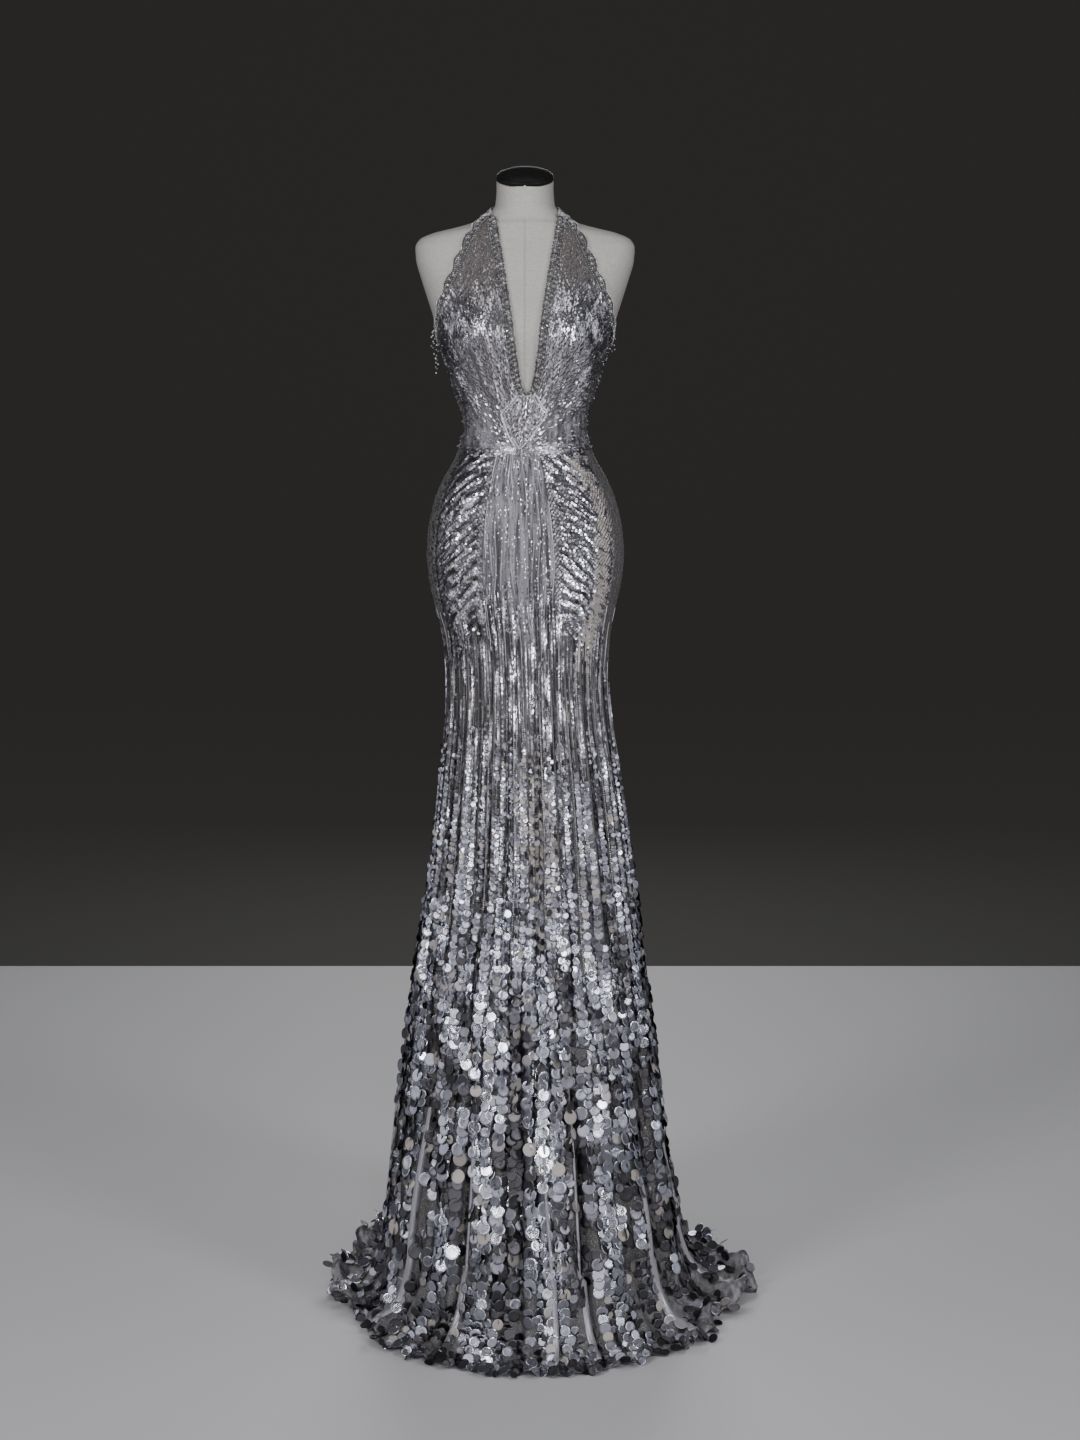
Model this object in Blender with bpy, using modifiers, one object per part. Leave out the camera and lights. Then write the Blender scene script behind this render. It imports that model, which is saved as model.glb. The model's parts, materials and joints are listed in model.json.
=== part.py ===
"""A sequinned halter evening gown on a limbless dress form with a pole stand.

Frame: metres, +Z up. The front faces -Y and +X is to the right of someone who looks at the front.
Left and right in the names are as that person sees them. The origin is on the floor, under the
middle of the whole outline.

Every cloth piece lies on one body surface. Its sections stand in BODY, and a piece is a patch of
angles and heights on that surface, moved out along the surface's normals: once for the inside of
the cloth and once for its outside. Angles are in degrees round the pole, 0 at the front, rising
towards +X.
"""

import math
from typing import NamedTuple

import bmesh
import bpy
import numpy as np

OBJECT = "evening_gown_on_dress_form"

CLOTH_GAP = 0.0011  # air between the form and the inside of the cloth
CLOTH = 0.0020  # cloth with its sewn-on sequins
APPLIQUE_GAP = 0.0004  # air under what lies on a panel
APPLIQUE = 0.0018
SEAM_GAP = 0.0003
HEM_SEAM_GAP = 0.0007
ON_PANEL = CLOTH_GAP + CLOTH + APPLIQUE_GAP


class Section(NamedTuple):
    """One level section of the body surface: a squared oval round the pole."""

    z: float
    half_width: float
    front: float
    back: float
    squareness: float
    drift: float


BODY = [
    Section(0.000, 0.2400, 0.2700, 0.2900, 2.00, 0.0130),
    Section(0.120, 0.2290, 0.2480, 0.2640, 2.00, 0.0130),
    Section(0.250, 0.2110, 0.2180, 0.2330, 2.00, 0.0100),
    Section(0.400, 0.1940, 0.1880, 0.2020, 2.00, 0.0090),
    Section(0.550, 0.1740, 0.1600, 0.1730, 2.00, 0.0080),
    Section(0.700, 0.1545, 0.1350, 0.1470, 2.00, 0.0095),
    Section(0.850, 0.1370, 0.1140, 0.1260, 2.05, 0.0070),
    Section(0.940, 0.1260, 0.1020, 0.1150, 2.10, 0.0045),
    Section(1.000, 0.1235, 0.0960, 0.1090, 2.15, 0.0030),
    Section(1.060, 0.1280, 0.0930, 0.1060, 2.20, 0.0020),
    Section(1.110, 0.1390, 0.0925, 0.1070, 2.20, 0.0000),
    Section(1.150, 0.1480, 0.0925, 0.1090, 2.20, 0.0000),
    Section(1.190, 0.1525, 0.0915, 0.1095, 2.20, 0.0000),
    Section(1.230, 0.1500, 0.0895, 0.1060, 2.20, 0.0000),
    Section(1.270, 0.1418, 0.0860, 0.0990, 2.20, 0.0000),
    Section(1.310, 0.1265, 0.0815, 0.0890, 2.20, 0.0000),
    Section(1.340, 0.1098, 0.0770, 0.0805, 2.20, 0.0000),
    Section(1.370, 0.0972, 0.0730, 0.0740, 2.20, 0.0000),
    Section(1.395, 0.0918, 0.0710, 0.0715, 2.20, 0.0000),
    Section(1.430, 0.1005, 0.0735, 0.0740, 2.25, 0.0000),
    Section(1.465, 0.1120, 0.0790, 0.0780, 2.30, 0.0000),
    Section(1.500, 0.1240, 0.0850, 0.0815, 2.30, 0.0000),
    Section(1.530, 0.1345, 0.0880, 0.0840, 2.30, 0.0000),
    Section(1.560, 0.1420, 0.0870, 0.0855, 2.30, 0.0000),
    Section(1.590, 0.1515, 0.0815, 0.0855, 2.35, 0.0000),
    Section(1.620, 0.1610, 0.0740, 0.0830, 2.40, 0.0000),
    Section(1.650, 0.1690, 0.0645, 0.0775, 2.45, 0.0000),
    Section(1.668, 0.1700, 0.0575, 0.0720, 2.40, 0.0000),
    Section(1.680, 0.1640, 0.0530, 0.0680, 2.30, 0.0000),
    Section(1.690, 0.1430, 0.0500, 0.0640, 2.20, 0.0000),
    Section(1.697, 0.1140, 0.0480, 0.0610, 2.15, 0.0000),
    Section(1.704, 0.0880, 0.0465, 0.0575, 2.10, 0.0000),
    Section(1.712, 0.0705, 0.0455, 0.0535, 2.05, 0.0000),
    Section(1.720, 0.0580, 0.0445, 0.0500, 2.00, 0.0000),
    Section(1.734, 0.0460, 0.0435, 0.0460, 2.00, 0.0000),
    Section(1.760, 0.0441, 0.0430, 0.0441, 2.00, 0.0000),
    Section(1.820, 0.0441, 0.0430, 0.0441, 2.00, 0.0000),
]

BUST_APART = 0.068  # from the centre to each crown
BUST_Z = 1.537
BUST_RADIUS = 0.052
BUST_RISE = 0.024
FORM_BUST_RISE = 0.0222  # the form's own cups are a little flatter than the cloth's


class Fold(NamedTuple):
    """One deep fold of the skirt: its angle, depth, half width in degrees and where it dies out."""

    angle: float
    depth: float
    width: float
    top: float


FOLDS = [
    Fold(-168.0, 0.014, 5.5, 0.72),
    Fold(-143.0, 0.019, 5.0, 0.80),
    Fold(-119.0, 0.016, 5.5, 0.66),
    Fold(-97.0, 0.018, 5.0, 0.74),
    Fold(-74.0, 0.013, 4.5, 0.60),
    Fold(-51.0, 0.021, 5.0, 0.56),
    Fold(-28.0, 0.015, 4.0, 0.50),
    Fold(-5.0, 0.011, 4.0, 0.62),
    Fold(20.0, 0.015, 4.0, 0.58),
    Fold(41.0, 0.010, 4.0, 0.46),
    Fold(58.0, 0.018, 5.0, 0.52),
    Fold(82.0, 0.014, 5.0, 0.68),
    Fold(104.0, 0.019, 5.5, 0.78),
    Fold(129.0, 0.015, 5.0, 0.62),
    Fold(152.0, 0.020, 5.5, 0.76),
]
FOLD_FADE = 0.30  # a fold deepens over this height below its top


class Pleat(NamedTuple):
    """How far the small pleats stand out at a height, and what part is raised on a plain inside."""

    z: float
    depth: float
    raised: float


PLEATS = [
    Pleat(0.000, 0.0050, 0.0000),
    Pleat(0.400, 0.0045, 0.0000),
    Pleat(0.900, 0.0025, 0.0000),
    Pleat(1.040, 0.0010, 0.0006),
    Pleat(1.090, 0.0000, 0.0014),
    Pleat(1.290, 0.0000, 0.0014),
    Pleat(1.335, 0.0000, 0.0000),
    Pleat(1.370, 0.0000, 0.0000),
]

SIDE_SEAM = 95.0
TURN_STEP = 0.4  # degrees, for slopes across the body surface
HEIGHT_STEP = 0.0008  # for slopes up the body surface


class Seam(NamedTuple):
    """Where the two seams beside the centre front panel run."""

    z: float
    left: float
    right: float


FRONT_SEAMS = [
    Seam(0.120, -28.0, 20.0),
    Seam(0.900, -26.0, 19.0),
    Seam(1.200, -23.0, 15.0),
    Seam(1.360, -22.0, 11.0),
]

WAIST_Z = 1.3570
WAIST_GAP = 0.0005
RUCHE_ROWS = 10  # alternate rows are crests, so this is five ruches a side
RUCHE_RISE = 0.0016
RUCHE_END_FRONT = 1.100  # the lowest ruche at the centre panel's seam
RUCHE_END_SIDE = 0.985  # the same ruche at the side seam
RUCHE_SPREAD = 0.62  # share of the side panel that is ruched
RUCHE_GROW = 0.10  # share over which the ruches rise beside the centre panel
RUCHE_FADE = 0.20  # share over which they sink again
LOWER_ROWS = 7
HEM_TOP = 0.120
FRONT_COLUMNS = 16
SIDE_COLUMNS = 18
BACK_COLUMNS = 16


class Hem(NamedTuple):
    """The hem on the floor: reach from the pole and height of its ruffles at an angle."""

    angle: float
    reach: float
    lift: float


HEM = [
    Hem(-180.0, 0.450, 0.034),
    Hem(-150.0, 0.405, 0.040),
    Hem(-125.0, 0.352, 0.046),
    Hem(-100.0, 0.330, 0.052),
    Hem(-84.0, 0.326, 0.040),
    Hem(-68.0, 0.296, 0.026),
    Hem(-44.0, 0.322, 0.024),
    Hem(-20.0, 0.324, 0.014),
    Hem(0.0, 0.330, 0.012),
    Hem(20.0, 0.326, 0.014),
    Hem(43.0, 0.322, 0.018),
    Hem(56.0, 0.338, 0.024),
    Hem(66.0, 0.318, 0.030),
    Hem(90.0, 0.348, 0.044),
    Hem(110.0, 0.346, 0.048),
    Hem(135.0, 0.372, 0.044),
    Hem(158.0, 0.425, 0.038),
    Hem(180.0, 0.450, 0.034),
]
HEM_ROWS = 5
HEM_LIE = 0.0005  # the lowest cloth above the floor
RUFFLE_SWAY = 0.007  # in and out of the outline
RUFFLE_START = 0.25  # the ruffles begin this far down the flounce
RUFFLE_MEAN = 0.62  # height of an average ruffle, as a share of the hem's lift
RUFFLE_SPREAD = 0.38  # how much higher or lower the others are
RUFFLE_QUICK = 1.9  # the two paces, in radians a column, at which their height wanders
RUFFLE_SLOW = 0.47
TOP_SHARE = 0.20  # over this share its wall turns from the skirt's slope to its own
FLOUNCE_DROP = 0.075  # how far it hangs straight down before it spreads
FLOUNCE_LEAVE = 0.15  # share of its spread that it takes while it hangs
FLOUNCE_FLAT = 0.62  # share of its spread over which it lies down on the floor
FLOUNCE_STEP = 0.01  # share of its length, for slopes along it
FLOUNCE_TURN = 1.0  # degrees, for slopes round it

NECKLINE_POINT = 1.439
NECKLINE_CENTRE = 0.003  # the neckline's point lies a little right of the form's middle
NECKLINE = [
    (NECKLINE_POINT, 0.00015),
    (1.447, 0.0045),
    (1.462, 0.0095),
    (1.492, 0.0145),
    (1.552, 0.0225),
    (1.612, 0.0310),
    (1.672, 0.0405),
    (1.698, 0.0445),
    (1.714, 0.0460),
]
ARMHOLE_Z = 1.5200
UNDERARM_Z = 1.5600
SHOULDER_Z = 1.6720
ARMHOLE = [
    (ARMHOLE_Z, SIDE_SEAM),
    (1.5280, 88.0),
    (1.5370, 81.5),
    (1.5480, 75.5),
    (UNDERARM_Z, 69.0),
    (1.5840, 56.1),
    (1.6140, 42.7),
    (1.6440, 33.0),
    (1.6750, 28.2),
    (1.6900, 31.9),
    (1.7020, 47.8),
    (1.7140, 63.6),
]
BODICE_TOP = 1.7115
BODICE_WAIST_ROWS = 6
BODICE_BUST_ROWS = 5
BODICE_UNDERARM_ROWS = 5  # closer, where the armhole turns under the arm
BODICE_CHEST_ROWS = 7
BODICE_SHOULDER_ROWS = 9  # closer, where the front turns over the shoulder
BODICE_COLUMNS = 7
LEVEL = 1e-9  # two heights this close are the same row
BACK_TOP = [
    (SIDE_SEAM, ARMHOLE_Z),
    (118.0, 1.482),
    (148.0, 1.446),
    (180.0, 1.436),
]
BODICE_BACK_COLUMNS = 8

EDGE_STEP = 2.0  # widths beside an edge are measured this many degrees from it
BAND_WIDTH = 0.014  # the beaded band beside the neckline
BAND_SHARE = 0.40  # the most of a front's width that the band takes
EDGING_WIDTH = 0.009
EDGING_SHARE = 0.60  # the edging begins past this share of a front's width
SCALLOP = 0.0050  # how far each scallop stands out past the armhole
SCALLOP_STAND = 0.0005  # the edging covers the cloth's edge between scallops too
SCALLOP_LENGTH = 0.036

MOTIF = [
    (1.3570, 0.0030),
    (1.3750, 0.0160),
    (1.3950, 0.0265),
    (1.4120, 0.0335),
    (1.4270, 0.0225),
    (1.4390, 0.0150),
]
MOTIF_COLUMNS = 6
MOTIF_FOOT = -0.010  # its point lies left of the form's middle, where the gathers meet

STRAP = [
    (42.0, 1.7120, 1.7128),
    (55.0, 1.7120, 1.7180),
    (70.0, 1.7120, 1.7240),
    (90.0, 1.7125, 1.7290),
    (135.0, 1.7160, 1.7335),
    (180.0, 1.7175, 1.7345),
]
STRAP_COLUMNS = 30
STRAP_ROWS = 2

TORSO_FOOT = 1.100
TORSO_BANDS = [
    (TORSO_FOOT, 1.310, 6),
    (1.310, 1.430, 8),
    (1.430, 1.650, 9),
    (1.650, 1.688, 4),
    (1.688, 1.718, 7),
    (1.718, 1.746, 5),
]
TORSO_FRONT_COLUMNS = 22
TORSO_BACK_COLUMNS = 12
NECK_TOP = 1.772
NECK_TILT = 22.0  # degrees forward
CAP_RADIUS = 0.0446
CAP_RISE = 0.013
CAP_RIM = 0.004
CAP_STEPS = 5
SCREW_RADIUS = 0.0017
SCREW_RISE = 0.0009
SCREW_RIM = 0.0006
SCREW_STEPS = 4
SCREW_TURNS = 12

POLE_RADIUS = 0.0160
POLE_FLANGE = 0.0420
POLE_FLANGE_DEPTH = 0.0080
POLE_CONE_DEPTH = 0.0240  # the flange and the cone under it
BASE_RADIUS = 0.1700
BASE_RIM = 0.0100
BASE_SHOULDER_RADIUS = 0.1020
BASE_SHOULDER = 0.0208
BASE_CROWN = 0.0260
SOCKET_RADIUS = 0.0300
SOCKET_TOP = 0.0700
SOCKET_TOP_RADIUS = 0.0270
SOCKET_BEVEL_Z = 0.0630
TURNED_STEPS = 24
SHARP_ANGLE = 40.0  # edges sharper than this, in degrees, show as edges
MERGE = 0.00001  # points on the axis closer than this are one


class Finish(NamedTuple):
    """A plain colour for one kind of surface."""

    colour: tuple
    roughness: float
    metallic: float


LINEN = Finish((0.62, 0.60, 0.55), 0.90, 0.0)
BLACK_WOOD = Finish((0.012, 0.012, 0.012), 0.35, 0.0)
STEEL = Finish((0.60, 0.60, 0.62), 0.30, 1.0)
IRON = Finish((0.03, 0.03, 0.03), 0.45, 0.6)
SILVER_MESH = Finish((0.30, 0.28, 0.28), 0.45, 0.4)
SILVER_SEQUIN = Finish((0.62, 0.62, 0.66), 0.22, 1.0)
CRYSTAL = Finish((0.75, 0.76, 0.80), 0.12, 0.8)


def clear_scene():
    """Remove what the scene holds."""
    for item in list(bpy.data.objects):
        bpy.data.objects.remove(item, do_unlink=True)


def make_collection(name):
    """Return a new collection under the scene."""
    group = bpy.data.collections.new(name)
    bpy.context.scene.collection.children.link(group)
    return group


def make_material(name, finish):
    """Return a Principled material with the finish's values."""
    material = bpy.data.materials.new(name)
    material.use_nodes = True
    shader = material.node_tree.nodes["Principled BSDF"]
    shader.inputs["Base Color"].default_value = (*finish.colour, 1.0)
    shader.inputs["Roughness"].default_value = finish.roughness
    shader.inputs["Metallic"].default_value = finish.metallic
    return material


def smooth_curve(x, knots, values):
    """Read a smooth curve through (knots, values) at x. It never overshoots its points."""
    knots = np.asarray(knots, float)
    values = np.asarray(values, float)
    x = np.clip(np.asarray(x, float), knots[0], knots[-1])
    step = np.diff(knots)
    slope = np.diff(values) / step
    tangent = np.concatenate([slope[:1], np.zeros(len(slope) - 1), slope[-1:]])
    for i in range(1, len(slope)):
        if slope[i - 1] * slope[i] > 0:
            tangent[i] = 2.0 / (1.0 / slope[i - 1] + 1.0 / slope[i])
    i = np.clip(np.searchsorted(knots, x, side="right") - 1, 0, len(step) - 1)
    t = (x - knots[i]) / step[i]
    rise = t * t * (3.0 - 2.0 * t)
    leave = t * (1.0 - t) ** 2 * step[i] * tangent[i]
    arrive = t * t * (t - 1.0) * step[i] * tangent[i + 1]
    return values[i] * (1.0 - rise) + values[i + 1] * rise + leave + arrive


def read_table(rows, x, column):
    """Read one named or numbered column of a table whose first column rises, at x."""
    knots = [row[0] for row in rows]
    if isinstance(column, str):
        values = [getattr(row, column) for row in rows]
    else:
        values = [row[column] for row in rows]
    return smooth_curve(x, knots, values)


def ease(t):
    """Rise smoothly from 0 to 1 as t goes from 0 to 1."""
    t = np.clip(t, 0.0, 1.0)
    return t * t * (3.0 - 2.0 * t)


def bust_shape(x, z):
    """Return a share from 0 to about 1: how far the two cups stand forward at (x, z)."""
    shape = 0.0
    for side in (-1.0, 1.0):
        away = ((x - side * BUST_APART) ** 2 + (z - BUST_Z) ** 2) / BUST_RADIUS**2
        shape = shape + np.exp(-away)
    return shape


def body_point(angle, z, bust_rise=BUST_RISE):
    """Return the points of the body surface at the angles and heights."""
    angle, z = np.broadcast_arrays(np.asarray(angle, float), np.asarray(z, float))
    side = np.sin(np.radians(angle))
    ahead = np.cos(np.radians(angle))
    power = 2.0 / read_table(BODY, z, "squareness")
    width = read_table(BODY, z, "half_width")
    depth = np.where(ahead > 0, read_table(BODY, z, "front"), read_table(BODY, z, "back"))
    x = width * np.sign(side) * np.abs(side) ** power
    y = -depth * np.sign(ahead) * np.abs(ahead) ** power
    y = y - bust_rise * bust_shape(x, z) * np.clip(ahead, 0.0, 1.0)
    return np.stack([x + read_table(BODY, z, "drift"), y, z], axis=-1)


def unit(vectors):
    """Scale vectors to length 1."""
    return vectors / np.linalg.norm(vectors, axis=-1, keepdims=True)


def body_normal(angle, z):
    """Return the outward normals of the body surface."""
    right = body_point(np.add(angle, TURN_STEP), z)
    left = body_point(np.subtract(angle, TURN_STEP), z)
    high = body_point(angle, np.add(z, HEIGHT_STEP))
    low = body_point(angle, np.subtract(z, HEIGHT_STEP))
    return unit(np.cross(right - left, high - low))


def cloth_point(angle, z, out):
    """Return points that lie `out` off the body surface."""
    angle, z, out = np.broadcast_arrays(angle, z, out)
    return body_point(angle, z) + body_normal(angle, z) * out[..., None]


def angle_at(x, z):
    """Return the angle on the front at which the body surface is x from the middle."""
    share = np.clip(np.abs(x) / read_table(BODY, z, "half_width"), 0.0, 1.0)
    turn = np.degrees(np.arcsin(share ** (read_table(BODY, z, "squareness") / 2.0)))
    return np.sign(x) * turn


def fold_depth(angle, z):
    """Return the deep folds' displacement, which is inward."""
    dip = 0.0
    for fold in FOLDS:
        away = (np.asarray(angle) - fold.angle + 180.0) % 360.0 - 180.0
        grown = ease((fold.top - z) / FOLD_FADE)
        dip = dip - fold.depth * grown * np.exp(-((away / fold.width) ** 2))
    return dip


def join_wall(name, outer, inner, material, group, mirrored=False):
    """Make one closed wall between two grids of points (rows upwards, columns towards +X).

    Each cell is cut from its low left corner, or from its low right corner where mirrored.
    """
    rows, columns = outer.shape[:2]
    count = rows * columns
    points = np.concatenate([outer.reshape(-1, 3), inner.reshape(-1, 3)])
    faces = []

    def quad(a, b, c, d):
        faces.append((a, b, c))
        faces.append((a, c, d))

    for r in range(rows - 1):
        for c in range(columns - 1):
            a = r * columns + c
            b = a + 1
            d = a + columns
            e = d + 1
            cell = [(a, b, d), (b, e, d)] if mirrored else [(a, b, e), (a, e, d)]
            faces.extend(cell)
            faces.extend((count + i, count + k, count + j) for i, j, k in cell)
    for c in range(columns - 1):
        low = c
        high = (rows - 1) * columns + c
        quad(low, count + low, count + low + 1, low + 1)
        quad(high + 1, count + high + 1, count + high, high)
    for r in range(rows - 1):
        left = r * columns
        right = left + columns - 1
        quad(left + columns, count + left + columns, count + left, left)
        quad(right, count + right, count + right + columns, right + columns)
    mesh = bpy.data.meshes.new(name)
    mesh.from_pydata([tuple(p) for p in points], [], faces)
    return add_object(name, mesh, material, group)


def add_object(name, mesh, material, group):
    """Put a mesh with its material in the collection, as one smooth object."""
    mesh.validate()
    mesh.shade_smooth()
    mesh.set_sharp_from_angle(angle=math.radians(SHARP_ANGLE))
    mesh.materials.append(material)
    item = bpy.data.objects.new(name, mesh)
    group.objects.link(item)
    return item


def make_turned(name, profile, material, group, steps=TURNED_STEPS):
    """Turn a profile of (radius, height), from its top to its bottom, round the Z axis."""
    mesh = bpy.data.meshes.new(name)
    shape = bmesh.new()
    points = [shape.verts.new((radius, 0.0, height)) for radius, height in profile]
    for first, second in zip(points, points[1:]):
        shape.edges.new((first, second))
    shape.to_mesh(mesh)
    shape.free()
    item = add_object(name, mesh, material, group)
    screw = item.modifiers.new("turn", "SCREW")
    screw.steps = steps
    screw.render_steps = steps
    screw.use_merge_vertices = True
    screw.merge_threshold = MERGE
    return item


def torso_heights():
    """Return the levels of the form's rings, closer where it curves most."""
    levels = []
    for low, high, count in TORSO_BANDS:
        levels.extend(np.linspace(low, high, count, endpoint=False))
    return levels + [TORSO_BANDS[-1][1]]


def make_torso(material, group):
    """Loft the form from its foot to the neck, whose top is cut on a slope towards the front."""
    front = np.linspace(-90.0, 90.0, TORSO_FRONT_COLUMNS, endpoint=False)
    back = np.linspace(90.0, 270.0, TORSO_BACK_COLUMNS, endpoint=False)
    angles = np.concatenate([front, back])
    rings = [body_point(angles, z, FORM_BUST_RISE) for z in torso_heights()]
    top = body_point(angles, NECK_TOP)
    top[:, 2] = top[:, 2] + top[:, 1] * math.tan(math.radians(NECK_TILT))
    rings.append(top)
    shape = bmesh.new()
    loops = [[shape.verts.new(tuple(p)) for p in ring] for ring in rings]
    for low, high in zip(loops, loops[1:]):
        for i in range(len(angles)):
            j = (i + 1) % len(angles)
            shape.faces.new((low[i], low[j], high[j], high[i]))
    shape.faces.new(loops[0][::-1])
    shape.faces.new(loops[-1])
    mesh = bpy.data.meshes.new("form_torso")
    shape.to_mesh(mesh)
    shape.free()
    return add_object("form_torso", mesh, material, group)


def dome_profile(radius, rise, rim, steps):
    """Return a profile from the crown of a shallow dome down its rim to the axis."""
    profile = []
    for i in range(steps):
        turn = math.pi / 2 * i / (steps - 1)
        profile.append((radius * math.sin(turn), rim + rise * math.cos(turn)))
    return profile + [(radius, 0.0), (0.0, 0.0)]


def make_neck_cap(material, screw_material, group):
    """Make the domed cap on the sloping neck, and the screw in the front of its rim."""
    tilt = math.radians(NECK_TILT)
    ahead = np.array([0.0, -math.cos(tilt), -math.sin(tilt)])
    up = np.array([0.0, -math.sin(tilt), math.cos(tilt)])
    foot = np.array([0.0, 0.0, NECK_TOP]) + up * SEAM_GAP
    profile = dome_profile(CAP_RADIUS, CAP_RISE, CAP_RIM, CAP_STEPS)
    cap = make_turned("neck_cap", profile, material, group)
    cap.rotation_euler = (tilt, 0.0, 0.0)
    cap.location = foot
    profile = dome_profile(SCREW_RADIUS, SCREW_RISE, SCREW_RIM, SCREW_STEPS)
    screw = make_turned("cap_screw", profile, screw_material, group, steps=SCREW_TURNS)
    screw.rotation_euler = (tilt + math.pi / 2, 0.0, 0.0)
    screw.location = foot + up * CAP_RIM / 2.0 + ahead * (CAP_RADIUS + SEAM_GAP)
    return [cap, screw]


def make_stand(material, group):
    """Turn the pole with its flange under the form, and the weighted base with its socket."""
    top = TORSO_FOOT - SEAM_GAP
    foot = SOCKET_TOP + SEAM_GAP
    pole = [
        (0.0, top),
        (POLE_FLANGE, top),
        (POLE_FLANGE, top - POLE_FLANGE_DEPTH),
        (POLE_RADIUS, top - POLE_CONE_DEPTH),
        (POLE_RADIUS, foot),
        (0.0, foot),
    ]
    base = [
        (0.0, SOCKET_TOP),
        (SOCKET_TOP_RADIUS, SOCKET_TOP),
        (SOCKET_RADIUS, SOCKET_BEVEL_Z),
        (SOCKET_RADIUS, BASE_CROWN),
        (BASE_SHOULDER_RADIUS, BASE_SHOULDER),
        (BASE_RADIUS, BASE_RIM),
        (BASE_RADIUS, 0.0),
        (0.0, 0.0),
    ]
    return [
        make_turned("stand_pole", pole, material, group),
        make_turned("stand_base", base, material, group),
    ]


def arc_turn(length, angle, z):
    """Return the angle that a length along the body surface covers at the place."""
    reach = body_point(np.add(angle, TURN_STEP), z) - body_point(np.subtract(angle, TURN_STEP), z)
    return length * 2.0 * TURN_STEP / np.linalg.norm(reach, axis=-1)


def seam_turn(angle, z):
    """Return half a seam's gap as an angle at the place."""
    return arc_turn(SEAM_GAP / 2.0, angle, z)


def skirt_rows(ruche_end):
    """Return the heights of a skirt panel's rows along one seam, from the hem up to the waist."""
    lower = np.linspace(HEM_TOP, ruche_end, LOWER_ROWS, endpoint=False)
    ruched = np.linspace(ruche_end, WAIST_Z, RUCHE_ROWS + 1)
    return np.concatenate([lower, ruched])


def ruche_height(rows, along):
    """Return the ruches' rise for each row and share of the way along the side panel."""
    row = np.arange(rows)[:, None] - LOWER_ROWS
    crest = (row % 2 == 1) & (row > 0) & (row < RUCHE_ROWS - 1)
    spread = ease(along / RUCHE_GROW) * ease((RUCHE_SPREAD - along) / RUCHE_FADE)
    return RUCHE_RISE * crest * spread[None, :]


class Edge(NamedTuple):
    """One long edge of a skirt panel: angle and height for each row."""

    angle: np.ndarray
    z: np.ndarray


def skirt_edges():
    """Return the edges between the skirt panels, from the left side round the front."""
    front_z = skirt_rows(RUCHE_END_FRONT)
    side_z = skirt_rows(RUCHE_END_SIDE)
    return {
        "front_left": Edge(read_table(FRONT_SEAMS, front_z, "left"), front_z),
        "front_right": Edge(read_table(FRONT_SEAMS, front_z, "right"), front_z),
        "side_left": Edge(np.full_like(side_z, -SIDE_SEAM), side_z),
        "side_right": Edge(np.full_like(side_z, SIDE_SEAM), side_z),
        "back_left": Edge(np.full_like(side_z, -180.0), side_z),
        "back_right": Edge(np.full_like(side_z, 180.0), side_z),
    }


def panel_grid(start, end, columns):
    """Spread a panel's columns between two edges, half a seam's gap inside each."""
    first = start.angle + seam_turn(start.angle, start.z)
    last = end.angle - seam_turn(end.angle, end.z)
    along = np.linspace(0.0, 1.0, columns + 1)
    angle = first[:, None] + (last - first)[:, None] * along
    z = start.z[:, None] + (end.z - start.z)[:, None] * along
    return angle, z, along


def pleated_offsets(angle, z, extra=0.0):
    """Return how far the inside and the outside of a skirt panel lie off the body surface."""
    crest = np.arange(angle.shape[1]) % 2
    pleat = crest * read_table(PLEATS, z, "depth")
    raised = crest * read_table(PLEATS, z, "raised")
    inside = CLOTH_GAP + fold_depth(angle, z) + pleat
    return inside, inside + CLOTH + raised + extra


def make_skirt_panel(name, grid, extra, material, group):
    """Make one skirt panel from its grid of angles and heights."""
    angle, z, _ = grid
    inside, outside = pleated_offsets(angle, z, extra)
    outer = cloth_point(angle, z, outside)
    inner = cloth_point(angle, z, inside)
    return join_wall(name, outer, inner, material, group)


def make_skirt(material, group):
    """Make the gathered centre front, the two ruched sides and the two back panels."""
    edges = skirt_edges()
    front = panel_grid(edges["front_left"], edges["front_right"], FRONT_COLUMNS)
    left = panel_grid(edges["side_left"], edges["front_left"], SIDE_COLUMNS)
    right = panel_grid(edges["front_right"], edges["side_right"], SIDE_COLUMNS)
    back_left = panel_grid(edges["back_left"], edges["side_left"], BACK_COLUMNS)
    back_right = panel_grid(edges["side_right"], edges["back_right"], BACK_COLUMNS)
    rows = len(edges["front_left"].z)
    return [
        make_skirt_panel("skirt_front", front, 0.0, material, group),
        make_skirt_panel("skirt_side_left", left, ruche_height(rows, 1.0 - left[2]), material, group),
        make_skirt_panel("skirt_side_right", right, ruche_height(rows, right[2]), material, group),
        make_skirt_panel("skirt_back_left", back_left, 0.0, material, group),
        make_skirt_panel("skirt_back_right", back_right, 0.0, material, group),
    ]


def outward_of(angle):
    """Return level directions away from the pole."""
    turn = np.radians(angle)
    return np.stack([np.sin(turn), -np.cos(turn), np.zeros_like(turn)], axis=-1)


def ruffle_crest(index):
    """Return a share from 0 to 1 for each column: 0 in the troughs, uneven on the crests."""
    wander = np.sin(index * RUFFLE_QUICK) * np.cos(index * RUFFLE_SLOW)
    return (index % 2) * (RUFFLE_MEAN + RUFFLE_SPREAD * wander)


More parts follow.
